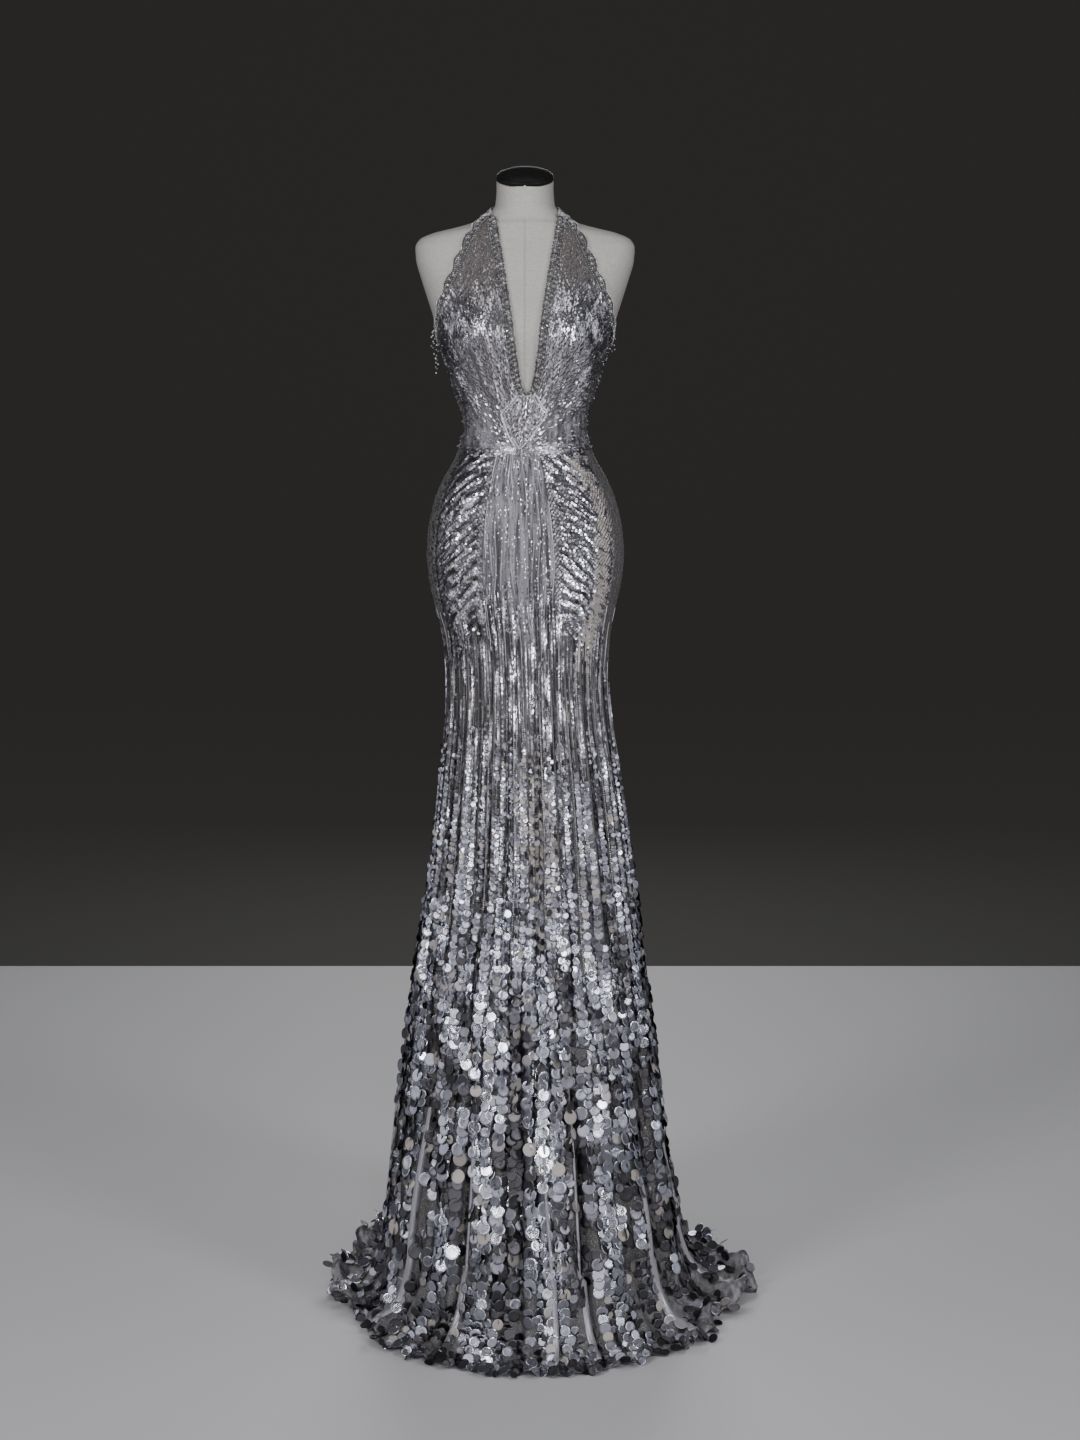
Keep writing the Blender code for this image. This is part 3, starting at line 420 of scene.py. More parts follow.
def frames_on(surface: Surface, u: Array, v: Array, du: float, dv: float) -> tuple[Array, Array]:
    """Return the places and the axes (across, up, normal) of a surface.

    Args:
        surface: Gives points from its two coordinates.
        u: First coordinate, which rises to the right as seen from outside.
        v: Second coordinate, which rises upwards.
        du: Step in u for the slope.
        dv: Step in v for the slope.

    Returns:
        Points (n, 3) and axes (n, 3, 3), the axes as rows.
    """
    centre = surface(u, v)
    across = surface(u + du, v) - surface(u - du, v)
    up = surface(u, v + dv) - surface(u, v - dv)
    normal = unit(np.cross(across, up))
    up = unit(up - normal * np.sum(up * normal, axis=-1, keepdims=True))
    across = np.cross(up, normal)
    return centre, np.stack([across, up, normal], axis=-2)


def turn_axes(axes: Array, first: int, second: int, angle: Array) -> Array:
    """Turn two of the axes in their plane by an angle in radians.

    Args:
        axes: (n, 3, 3), the axes as rows.
        first: The axis that turns towards the second.
        second: The other axis.
        angle: One angle for each place.

    Returns:
        The new axes.
    """
    cos = np.cos(angle)[:, None]
    sin = np.sin(angle)[:, None]
    turned = axes.copy()
    turned[:, first] = axes[:, first] * cos + axes[:, second] * sin
    turned[:, second] = axes[:, second] * cos - axes[:, first] * sin
    return turned


@dataclass
class Shape:
    """A small mesh that is copied many times: its points and its faces of one size."""

    points: Array
    faces: Array
    smooth: bool = True
    rim: Array | None = None  # 1 on the outline and 0 within


def disc_shape(sides: int, cup: float, width: float = 1.0, hang: float = 0.0) -> Shape:
    """Make a cupped disc of radius 1 that hangs from a place near its upper edge.

    Args:
        sides: Corners of its outline.
        cup: How far its middle lies back, as a share of the radius.
        width: Width as a share of the height.
        hang: How far its middle lies below the place where it is sewn on.

    Returns:
        The disc, facing +Z of its own axes, with +Y up.
    """
    turn = np.arange(sides) * TURN / sides + math.pi / sides
    rim = np.stack([width * np.cos(turn), np.sin(turn) - hang, np.full(sides, cup)], axis=-1)
    points = np.concatenate([[[0.0, -hang, 0.0]], rim])
    after = np.roll(np.arange(sides), -1)
    faces = np.stack([np.zeros(sides, int), 1 + np.arange(sides), 1 + after], axis=-1)
    return Shape(points, faces, rim=(np.arange(sides + 1) > 0) * 1.0)


def round_bead() -> Shape:
    """Make a bead of radius 1 with eight smooth faces.

    Returns:
        The bead.
    """
    points = np.array(
        [[1, 0, 0], [0, 1, 0], [-1, 0, 0], [0, -1, 0], [0, 0, 1], [0, 0, -1]], dtype=float
    )
    upper = [[0, 1, 4], [1, 2, 4], [2, 3, 4], [3, 0, 4]]
    lower = [[1, 0, 5], [2, 1, 5], [3, 2, 5], [0, 3, 5]]
    return Shape(points, np.array(upper + lower))


def half_bead() -> Shape:
    """Make the upper half of a small bead, whose other half is sunk in the cloth."""
    whole = round_bead()
    return Shape(np.delete(whole.points, 5, axis=0), whole.faces[:4])


def bugle_bead() -> Shape:
    """Make a slim upright tube of length 2, with a square section turned on its edge.

    Returns:
        The tube.
    """
    wide = 0.26
    ring = np.array([[wide, 0.0, 0.0], [0.0, 0.0, wide], [-wide, 0.0, 0.0]])
    points = np.concatenate([ring + [0.0, -1.0, 0.0], ring + [0.0, 1.0, 0.0]])
    faces = [[0, 4, 1], [0, 3, 4], [1, 5, 2], [1, 4, 5]]
    return Shape(points, np.array(faces), smooth=False)


def cut_crystal() -> Shape:
    """Make a faceted crystal of radius 1: a flat table, a slanted crown and a shallow back.

    Returns:
        The crystal.
    """
    turn = np.arange(6) * math.pi / 3.0
    table_ring = np.stack([0.55 * np.cos(turn), 0.55 * np.sin(turn), np.full(6, 0.62)], axis=-1)
    girdle = np.stack([np.cos(turn + 0.52), np.sin(turn + 0.52), np.full(6, 0.10)], axis=-1)
    points = np.concatenate([table_ring, girdle, [[0.0, 0.0, -0.45]]])
    faces = [[0, i, i + 1] for i in range(1, 5)]
    for i in range(6):
        j = (i + 1) % 6
        faces += [[i, 6 + i, j], [j, 6 + i, 6 + j], [6 + i, 12, 6 + j]]
    return Shape(points, np.array(faces), smooth=False)


@dataclass
class Placing:
    """Places, axes and sizes of copies of a shape, each with a tone and a share of matt taupe."""

    origin: Array
    axes: Array
    radius: Array
    tone: Array
    warm: Array | None = None

    def lifted(self, out: Array | float) -> Placing:
        """Move every place out along its normal."""
        rise = np.broadcast_to(out, self.radius.shape)[:, None]
        return replace(self, origin=self.origin + self.axes[:, 2] * rise)

    def turned(self, angle: Array) -> Placing:
        """Turn every copy in its own plane, by angles in radians."""
        return replace(self, axes=turn_axes(self.axes, 0, 1, angle))

    def kept(self, keep: Array) -> Placing:
        """Keep the places that a mask names."""
        warm = None if self.warm is None else self.warm[keep]
        return Placing(self.origin[keep], self.axes[keep], self.radius[keep], self.tone[keep], warm)


def lay(
    surface: Surface, u: Array, v: Array, steps: tuple, radius: Array | float, tone: Array
) -> Placing:
    """Lay copies flat on a surface.

    Args:
        surface: Gives points from its two coordinates.
        u: First coordinate of each copy.
        v: Second coordinate of each copy.
        steps: Steps in u and v for the slope.
        radius: Size of the copies.
        tone: From dark to light.

    Returns:
        The copies.
    """
    origin, axes = frames_on(surface, u, v, *steps)
    return Placing(origin, axes, np.broadcast_to(radius, len(origin)), np.clip(tone, 0.0, 1.0))


@dataclass
class Sway:
    """How unevenly the copies hang: spreads in degrees, and the lift of their free edge."""

    lift: float = 6.0
    lift_spread: float = 5.0
    swing: float = 8.0
    spin: float = 8.0
    size: float = 0.08


def hang(
    placing: Placing,
    sway: Sway,
    seed: int,
    lean: Array | float = 0.0,
    swing: Array | float = 0.0,
) -> Placing:
    """Tilt, swing and spin the copies unevenly.

    Args:
        placing: The copies, flat on their surface.
        sway: How unevenly they hang.
        seed: Picks the random turns.
        lean: Further lift of each free edge, in degrees.
        swing: Further swing of each, in degrees.

    Returns:
        The turned copies.
    """
    chance = default_rng(seed)
    count = len(placing.origin)
    lift = np.radians(sway.lift + lean + sway.lift_spread * chance.standard_normal(count))
    turn = np.radians(swing + sway.swing * chance.standard_normal(count))
    spin = np.radians(sway.spin * chance.standard_normal(count))
    axes = turn_axes(placing.axes, 2, 1, np.maximum(lift, 0.0))
    axes = turn_axes(axes, 0, 2, turn)
    axes = turn_axes(axes, 0, 1, spin)
    size = 1.0 + sway.size * np.clip(chance.standard_normal(count), -2.0, 2.0)
    return replace(placing, axes=axes, radius=placing.radius * size)


def join_placings(parts: Sequence[Placing]) -> Placing:
    """Put several sets of copies together.

    Args:
        parts: The sets.

    Returns:
        All the copies.
    """
    warm = [np.zeros(len(p.tone)) if p.warm is None else p.warm for p in parts]
    columns = [[p.origin, p.axes, p.radius, p.tone, w] for p, w in zip(parts, warm)]
    return Placing(*(np.concatenate(column) for column in zip(*columns)))


def make_object(
    name: str,
    points: Array,
    faces: Array,
    material: Material,
    smooth: bool = True,
    values: dict[str, Array] | None = None,
) -> Piece:
    """Make an object from points and faces of one size.

    Args:
        name: The object's name.
        points: (n, 3) places.
        faces: (m, k) corners.
        material: Its finish.
        smooth: Whether its faces are shaded smooth.
        values: Attributes by name, with one value for each point.

    Returns:
        The object, linked to the scene.
    """
    mesh = bpy.data.meshes.new(name)
    count, corners = faces.shape
    mesh.vertices.add(len(points))
    mesh.vertices.foreach_set("co", np.ascontiguousarray(points, np.float32).ravel())
    mesh.loops.add(count * corners)
    mesh.loops.foreach_set("vertex_index", np.ascontiguousarray(faces, np.int32).ravel())
    mesh.polygons.add(count)
    mesh.polygons.foreach_set("loop_start", np.arange(count, dtype=np.int32) * corners)
    for key, value in (values or {}).items():
        layer = mesh.attributes.new(key, "FLOAT", "POINT")
        layer.data.foreach_set("value", np.ascontiguousarray(value, np.float32))
    mesh.update(calc_edges=True)
    mesh.polygons.foreach_set("use_smooth", np.full(count, smooth))
    mesh.materials.append(material)
    item = bpy.data.objects.new(name, mesh)
    link(item)
    return item


def make_copies(
    name: str, shape: Shape, placing: Placing, material: Material
) -> Piece:
    """Make one object from many copies of a shape, none of it below the floor.

    Args:
        name: The object's name.
        shape: What is copied.
        placing: Where the copies are.
        material: Their finish.

    Returns:
        The object.
    """
    count = len(placing.origin)
    local = shape.points[None] * placing.radius[:, None, None]
    points = placing.origin[:, None] + np.einsum("nkj,njc->nkc", local, placing.axes)
    points[..., 2] = np.maximum(points[..., 2], HEM_LIE * 0.5)
    step = np.arange(count)[:, None, None] * len(shape.points)
    faces = (shape.faces[None] + step).reshape(-1, shape.faces.shape[1])
    values = {"tone": np.repeat(placing.tone, len(shape.points))}
    if placing.warm is not None:
        values["warm"] = np.repeat(placing.warm, len(shape.points))
    if shape.rim is not None:
        values["rim"] = np.tile(shape.rim, count)
    return make_object(name, points.reshape(-1, 3), faces, material, shape.smooth, values)


def grid_faces(rows: int, columns: int) -> Array:
    """Return the four-cornered faces of a grid whose rows go up and columns to the right.

    Args:
        rows: Points up.
        columns: Points across.

    Returns:
        Four points for each face.
    """
    low = np.arange(rows - 1)[:, None] * columns + np.arange(columns - 1)[None, :]
    low = low.ravel()
    return np.stack([low, low + 1, low + columns + 1, low + columns], axis=-1)


def rim_faces(rows: int, columns: int) -> Array:
    """Return the faces that close a thin shell's four edges between its two grids.

    Args:
        rows: Points up.
        columns: Points across.

    Returns:
        Four points for each face.
    """
    count = rows * columns
    bottom = np.arange(columns)
    top = (rows - 1) * columns + np.arange(columns)
    left = np.arange(rows) * columns
    right = left + columns - 1
    faces = []
    for line in (bottom[::-1], top, left, right[::-1]):
        first = line[:-1]
        second = line[1:]
        faces.append(np.stack([first, second, second + count, first + count], axis=-1))
    return np.concatenate(faces)


def make_shell(
    name: str, outer: Sequence[Array], inner: Sequence[Array], material: Material,
    satin: Array | None = None,
) -> Piece:
    """Make thin closed shells between pairs of grids of points, as one object.

    Args:
        name: The object's name.
        outer: (rows, columns, 3) outer points of each shell.
        inner: The points behind them.
        material: Its finish.
        satin: How far the cloth is smooth satin at each point of a single shell.

    Returns:
        The object.
    """
    points = []
    faces = []
    start = 0
    for front, back in zip(outer, inner, strict=True):
        rows, columns = front.shape[:2]
        cells = grid_faces(rows, columns)
        behind = cells[:, ::-1] + rows * columns
        faces.append(np.concatenate([cells, behind, rim_faces(rows, columns)]) + start)
        points += [front.reshape(-1, 3), back.reshape(-1, 3)]
        start += 2 * rows * columns
    values = None if satin is None else {"satin": np.tile(satin.ravel(), 2)}
    return make_object(name, np.concatenate(points), np.concatenate(faces), material, values=values)


class Wire:
    """A shader socket that can be used in Python expressions on plain values."""

    def __init__(self, graph: Graph, socket: bpy.types.NodeSocket) -> None:
        """Keep the socket and the graph that it is in."""
        self.graph = graph
        self.socket = socket

    def _math(self, operation: str, first: Wire | float, second: Wire | float) -> Wire:
        """Add one Math node."""
        node = self.graph.add("ShaderNodeMath", {"operation": operation}, {0: first, 1: second})
        return self.graph.wire(node)

    def __add__(self, other: Wire | float) -> Wire:
        """Add."""
        return self._math("ADD", self, other)

    def __radd__(self, other: float) -> Wire:
        """Add, reflected."""
        return self._math("ADD", other, self)

    def __sub__(self, other: Wire | float) -> Wire:
        """Subtract."""
        return self._math("SUBTRACT", self, other)

    def __rsub__(self, other: float) -> Wire:
        """Subtract, reflected."""
        return self._math("SUBTRACT", other, self)

    def __mul__(self, other: Wire | float) -> Wire:
        """Multiply."""
        return self._math("MULTIPLY", self, other)

    def __rmul__(self, other: float) -> Wire:
        """Multiply, reflected."""
        return self._math("MULTIPLY", other, self)

    def __pow__(self, other: Wire | float) -> Wire:
        """Raise to a power."""
        return self._math("POWER", self, other)

    def above(self, other: Wire | float) -> Wire:
        """Return 1 where this is greater, and 0 elsewhere."""
        return self._math("GREATER_THAN", self, other)

    def line(self, centre: float, half_width: float) -> Wire:
        """Return 1 at a value, which falls to 0 at half a width from it."""
        away = self._math("ABSOLUTE", self - centre, 0.0)
        return self._math("MAXIMUM", 1.0 - away * (1.0 / half_width), 0.0)


class Graph:
    """The node tree of one material."""

    def __init__(self, name: str) -> None:
        """Start a material that holds a Principled shader.

        Args:
            name: Name of the material.
        """
        self.material = bpy.data.materials.new(name)
        self.material.use_nodes = True
        self.nodes = self.material.node_tree.nodes
        self.links = self.material.node_tree.links
        self.shader = self.nodes["Principled BSDF"]

    def wire(self, node: bpy.types.Node, output: int | str = 0) -> Wire:
        """Return one output of a node."""
        return Wire(self, node.outputs[output])

    def put(self, node: bpy.types.Node, key: int | str, value: object) -> None:
        """Set one input of a node, or link it.

        Args:
            node: The node.
            key: Name or number of the input.
            value: A value or a link.
        """
        socket = node.inputs[key]
        if isinstance(value, Wire):
            self.links.new(value.socket, socket)
        elif isinstance(value, tuple) and len(value) == 3 and socket.type == "RGBA":
            socket.default_value = (*value, 1.0)
        else:
            socket.default_value = value

    def add(
        self, kind: str, settings: dict[str, object] | None = None, inputs: dict | None = None
    ) -> bpy.types.Node:
        """Add a node of any type.

        Args:
            kind: The node's type.
            settings: Its own properties, set first. "stops" are a ramp's (place, colour) pairs.
            inputs: Values or links of its sockets, by name or number.

        Returns:
            The node.
        """
        node = self.nodes.new(kind)
        for key, value in (settings or {}).items():
            if key == "stops":
                self._set_stops(node.color_ramp, value)
            else:
                setattr(node, key, value)
        for key, value in (inputs or {}).items():
            self.put(node, key, value)
        return node

    @staticmethod
    def _set_stops(ramp: bpy.types.ColorRamp, stops: Sequence[tuple]) -> None:
        """Give a colour ramp its stops.

        Args:
            ramp: The ramp's node.
            stops: Place and colour of each stop.
        """
        while len(ramp.elements) < len(stops):
            ramp.elements.new(0.5)
        for element, (place, colour) in zip(ramp.elements, stops, strict=True):
            element.position = place
            element.color = (*colour, 1.0)

    def attribute(self, name: str) -> Wire:
        """Return a value that the mesh holds for each point."""
        return self.wire(self.add("ShaderNodeAttribute", {"attribute_name": name}), "Fac")

    def ramp(self, value: Wire, stops: Sequence[tuple]) -> Wire:
        """Turn a value into a colour."""
        return self.wire(self.add("ShaderNodeValToRGB", {"stops": stops}, {"Fac": value}))

    def mix(self, share: Wire | float, first: object, second: object) -> Wire:
        """Mix two colours."""
        node = self.add("ShaderNodeMix", {"data_type": "RGBA"}, {0: share, 6: first, 7: second})
        return self.wire(node, 2)

    def noise(self, scale: float, detail: float = 2.0, stretch: tuple | None = None) -> Wire:
        """Return a noise value that rests on the object's own coordinates.

        Args:
            scale: How fine it is.
            detail: How many finer layers it has.
            stretch: Scale along each axis.

        Returns:
            The value.
        """
        place = self.wire(self.add("ShaderNodeTexCoord"), "Object")
        if stretch is not None:
            inputs = {"Vector": place, "Scale": stretch}
            place = self.wire(self.add("ShaderNodeMapping", None, inputs))
        inputs = {"Vector": place, "Scale": scale, "Detail": detail}
        return self.wire(self.add("ShaderNodeTexNoise", None, inputs), 0)

    def coordinate(self, name: str) -> Wire:
        """Return one of the object's own coordinates, X, Y or Z."""
        place = self.wire(self.add("ShaderNodeTexCoord"), "Object")
        return self.wire(self.add("ShaderNodeSeparateXYZ", None, {0: place}), name)

    def facing(self) -> Wire:
        """Return how far the surface turns its edge to the eye."""
        return self.wire(self.add("ShaderNodeLayerWeight", None, {"Blend": 0.5}), "Facing")

    def bump(self, height: Wire, depth: float, strength: float = 1.0) -> Wire:
        """Return a normal from a height in metres times depth."""
        inputs = {"Height": height, "Distance": depth, "Strength": strength}
        return self.wire(self.add("ShaderNodeBump", None, inputs))

    def finish(self, **inputs: object) -> Material:
        """Set the shader's sockets, whose names have _ for a space, and return the material.

        Args:
            inputs: Values or links of the sockets.

        Returns:
            The material.
        """
        for key, value in inputs.items():
            self.put(self.shader, key.replace("_", " "), value)
        return self.material


@dataclass(frozen=True)
class SequinFinish:
    """Mirror-bright plastic sequins from dark to white, some showing their matt taupe backs; the
    tone that sets dark to white carries painted highlights and painted shade as well.
    """

    name: str
    dark: tuple = (0.07, 0.07, 0.085)
    middle: tuple = (0.40, 0.405, 0.475)
    light: tuple = (0.91, 0.92, 1.0)
    back: tuple = (0.47, 0.43, 0.405)
    rough_low: float = 0.09
    rough_high: float = 0.26
    bevel: float = 0.0

    def make(self) -> Material:
        """Return the material.

        Returns:
            The material.
        """
        graph = Graph(self.name)
        tone = graph.attribute("tone")
        warm = graph.attribute("warm")
        stops = [(0.0, self.dark), (0.5, self.middle), (1.0, self.light)]
        grain = graph.noise(900.0, 1.0)
        spread = self.rough_high - self.rough_low
        rough = self.rough_low + spread * (1.0 - tone) + 0.30 * warm + 0.08 * (grain - 0.5)
        height = grain * 0.0002 + graph.attribute("rim") ** 7.0 * self.bevel
        return graph.finish(
            Base_Color=graph.mix(warm, graph.ramp(tone, stops), self.back),
            Roughness=rough,
            Metallic=1.0 - 0.6 * warm,
            Normal=graph.bump(height, 1.0, 0.6),
        )


@dataclass(frozen=True)
class CrystalFinish:
    """Cut crystals and silver-lined beads."""

    name: str

    def make(self) -> Material:
        """Return the material.

        Returns:
            The material.
        """
        graph = Graph(self.name)
        tone = graph.attribute("tone")
        stops = [(0.0, (0.075, 0.070, 0.070)), (0.5, (0.47, 0.46, 0.475)), (1.0, (1.0, 1.0, 1.0))]
        rough = 0.05 + 0.16 * (1.0 - tone) * graph.noise(400.0, 1.0)
        return graph.finish(
            Base_Color=graph.ramp(tone, stops), Roughness=rough, Metallic=0.45, Coat_Weight=0.6
        )


@dataclass(frozen=True)
class TulleFinish:
    """The fine grey mesh under the sewn-on work, which is bare lavender-grey satin in places."""

    name: str
    dark: tuple
    light: tuple
    glitter: float
    sheen: float
    satin_dark: tuple = (0.050, 0.048, 0.052)
    satin_light: tuple = (0.30, 0.29, 0.32)

    def make(self) -> Material:
        """Return the material.

        Returns:
            The material.
        """
        graph = Graph(self.name)
        place = graph.wire(graph.add("ShaderNodeTexCoord"), "Object")
        cells = graph.add("ShaderNodeTexVoronoi", None, {"Vector": place, "Scale": 900.0})
        weave = graph.wire(cells, 0)
        speck = graph.add("ShaderNodeTexVoronoi", None, {"Vector": place, "Scale": 420.0})
        threads = graph.noise(330.0, 2.0, (1.0, 1.0, 0.03))
        shade = graph.noise(14.0, 4.0, (1.0, 1.0, 0.25))
        sparkle = graph.wire(speck, 0) * -4.0 + 1.25
        satin = graph.attribute("satin")
        fleck = sparkle.above(0.0) * self.glitter * (1.0 - satin)
        thread_share = shade * 0.45 + threads * 0.55
        base = graph.mix(thread_share, self.dark, self.light)
        lines = (graph.noise(150.0, 2.0, (1.0, 1.0, 0.02)) - 0.5) * 3.2 + 0.5
        smooth = graph.mix(lines, self.satin_dark, self.satin_light)
        return graph.finish(
            Base_Color=graph.mix(fleck, graph.mix(satin, base, smooth), (0.60, 0.60, 0.66)),
            Roughness=0.52 - 0.30 * fleck - 0.20 * satin,
            Metallic=fleck * 0.9 + satin * 0.45,
            Sheen_Weight=self.sheen,
            Sheen_Roughness=0.4,
            Normal=graph.bump(weave + threads, 0.0006, 0.5),
        )


@dataclass(frozen=True)
class OrganzaFinish:
    """Smooth silver-grey organza that catches the light along its folds."""

    name: str
    dark: tuple = (0.20, 0.195, 0.215)
    light: tuple = (0.52, 0.51, 0.56)

    def make(self) -> Material:
        """Return the material.

        Returns:
            The material.
        """
        graph = Graph(self.name)
        threads = graph.noise(420.0, 2.0, (1.0, 1.0, 0.04))
        cloud = graph.noise(30.0, 3.0)
        return graph.finish(
            Base_Color=graph.mix(threads * 0.6 + cloud * 0.4, self.dark, self.light),
            Roughness=0.30 + 0.16 * threads,
            Metallic=0.55,
            Sheen_Weight=0.3,
            Sheen_Roughness=0.35,
            Normal=graph.bump(threads, 0.0005, 0.5),
        )


@dataclass(frozen=True)
class LinenFinish:
    """Off-white linen over a form, slightly soiled, with sewn seams before and round the neck,
    painted shade along the seams and painted shade towards its outline.
    """

    name: str
    centre_x: float
    side_y: float
    neck_z: float

    def make(self) -> Material:
        """Return the material.

        Returns:
            The material.
        """
        graph = Graph(self.name)
        warp = graph.noise(1400.0, 1.0, (1.0, 1.0, 0.12))
        weft = graph.noise(1400.0, 1.0, (0.12, 0.12, 1.0))
        soil = graph.noise(9.0, 3.0)
        stops = [(0.30, (0.42, 0.41, 0.38)), (0.55, (0.59, 0.58, 0.54)), (0.80, (0.67, 0.66, 0.62))]
        thread = graph.ramp(warp * 0.5 + weft * 0.5, stops)
        colour = graph.mix(soil * 0.30, thread, (0.43, 0.41, 0.37))
        ahead = 1.0 - graph.coordinate("Y").above(self.side_y)
        chest = 1.0 - graph.coordinate("Z").above(self.neck_z)
        # Painted shade: soft dark lines down the centre front seam and round the neck's seam, for
        # the shade in their grooves.
        centre = graph.coordinate("X").line(self.centre_x, 0.0026) * ahead * chest
        seams = centre * 0.30 + graph.coordinate("Z").line(self.neck_z, 0.0060) * 0.22
        # Painted shade: the colour darkens where the surface turns its edge to the eye.
        turned = graph.facing() ** 0.9 * 0.95
        colour = graph.mix(turned, graph.mix(seams, colour, (0.13, 0.12, 0.10)), (0.14, 0.13, 0.12))
        return graph.finish(
            Base_Color=colour,
            Roughness=0.88,
            Sheen_Weight=0.15,
            Normal=graph.bump(warp + weft, 0.0005, 0.6),
        )


@dataclass(frozen=True)
class HardFinish:
    """Painted, lacquered or polished hard surface."""

    name: str
    colour: tuple
    roughness: float
    metallic: float
    shine: float = 0.5
    grain: float = 120.0
    depth: float = 0.00008

    def make(self) -> Material:
        """Return the material.

        Returns:
            The material.
        """
        graph = Graph(self.name)
        grain = graph.noise(self.grain, 4.0)
        worn = tuple(min(1.0, c * 1.6 + 0.01) for c in self.colour)
        return graph.finish(
            Base_Color=graph.mix(grain, self.colour, worn),
            Roughness=self.roughness + 0.18 * (grain - 0.5),
            Metallic=self.metallic,
            Specular_IOR_Level=self.shine,
            Normal=graph.bump(grain, self.depth, 0.4),
        )


@dataclass(frozen=True)
class FloorFinish:
    """A plain pale floor or a plain backdrop."""

    name: str
    colour: tuple
    roughness: float
    glow: tuple = (0.0, 0.0, 0.0)

    def make(self) -> Material:
        """Return the material.

        Returns:
            The material.
        """
        graph = Graph(self.name)
        return graph.finish(
            Base_Color=self.colour,
            Roughness=self.roughness,
            Emission_Color=self.glow,
            Emission_Strength=1.0,
        )


class Finishes:
    """All the finishes of the gown, its form and its stand."""

    def __init__(self, body: BodySurface) -> None:
        """Make each material once.

        Args:
            body: Tells where the form's middle is.
        """
        self.linen = LinenFinish("form_linen", body.axis[0], body.axis[1], NECK_SEAM).make()
        self.lacquer = HardFinish("cap_lacquer", (0.002, 0.002, 0.002), 0.45, 0.0, 0.12).make()
        self.steel = HardFinish("screw_steel", (0.70, 0.70, 0.72), 0.25, 1.0).make()
        self.iron = HardFinish("stand_paint", (0.03, 0.03, 0.03), 0.45, 0.6).make()
        brown = ((0.030, 0.026, 0.025), (0.125, 0.107, 0.100))
        self.bodice_tulle = TulleFinish("bodice_tulle", *brown, 0.25, 0.08).make()
        taupe = ((0.026, 0.024, 0.025), (0.115, 0.107, 0.105))
        self.skirt_tulle = TulleFinish("skirt_tulle", *taupe, 0.3, 0.08).make()
        black = ((0.02, 0.02, 0.02), (0.06, 0.055, 0.054))
        self.edge_tulle = TulleFinish("edge_tulle", *black, 0.1, 0.0).make()
        self.organza = OrganzaFinish("silver_organza").make()
        self.thread = OrganzaFinish("silver_thread", (0.34, 0.33, 0.36), (0.66, 0.65, 0.70)).make()
        mauve = ((0.13, 0.12, 0.128), (0.42, 0.402, 0.437))
        self.flake = SequinFinish("silver_flake", *mauve, rough_low=0.18, rough_high=0.38).make()
        deep = ((0.055, 0.052, 0.056), (0.39, 0.378, 0.42))
        self.course = SequinFinish("course_sequin", *deep, rough_low=0.16, rough_high=0.34).make()
        grey = (0.075, 0.072, 0.080)
        self.paillette = SequinFinish(
            "silver_paillette", grey, rough_low=0.18, rough_high=0.36, bevel=-0.0016
        ).make()
        self.crystal = CrystalFinish("crystal").make()


class Side(Enum):
    """The two sides, as someone who looks at the front sees them."""

    LEFT = -1
    RIGHT = 1

    @property
    def word(self) -> str:
        """The side's name in lower case."""
        return self.name.lower()


def report(piece: Piece, slot: str, *nodes: str) -> None:
    """Ride a piece on the gown's one body, hide the solids that it stands for, and log its faces.

    Args:
        piece: The object.
        slot: The record's material slot; not used.
        nodes: The solids that it replaces.
    """
    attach(piece, BODY_NAME)
    if nodes:
        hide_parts(*nodes)
    LOG.info("%s: %d faces", piece.name, len(piece.data.polygons))


def sew(
    name: str, shape: Shape, placing: Placing, finish: Material, slot: str, *nodes: str
) -> None:
    """Make copies of a shape as one sewn-on piece, and report it."""
    report(make_copies(name, shape, placing, finish), slot, *nodes)


def turned_mesh(
    name: str,
    profile: Array,
    steps: int,
    material: Material,
    place: Sequence[float],
    tilt: float = 0.0,
) -> Piece:
    """Turn a profile round an axis.

    Args:
        name: The object's name.
        profile: (n, 2) radius and height, from the bottom to the top, on the outer side.
        steps: Corners round the axis.
        material: Its finish.
        place: Where the profile's zero lies.
        tilt: How far the axis leans forward from upright, in radians.

    Returns:
        The object, closed where its profile starts and ends on the axis.
    """
    turn = np.linspace(0.0, TURN, steps + 1)
    radius = profile[:, :1]
    height = np.broadcast_to(profile[:, 1:2], (len(profile), steps + 1))
    grid = np.stack([radius * np.sin(turn), -radius * np.cos(turn), height], axis=-1)
    item = make_object(name, grid.reshape(-1, 3), grid_faces(*grid.shape[:2]), material)
    item.data.transform(Matrix.Translation(place) @ Matrix.Rotation(tilt, 4, "X"))
    item.modifiers.new("weld", "WELD").merge_threshold = WELD
    item.data.set_sharp_from_angle(angle=math.radians(35.0))
    return item


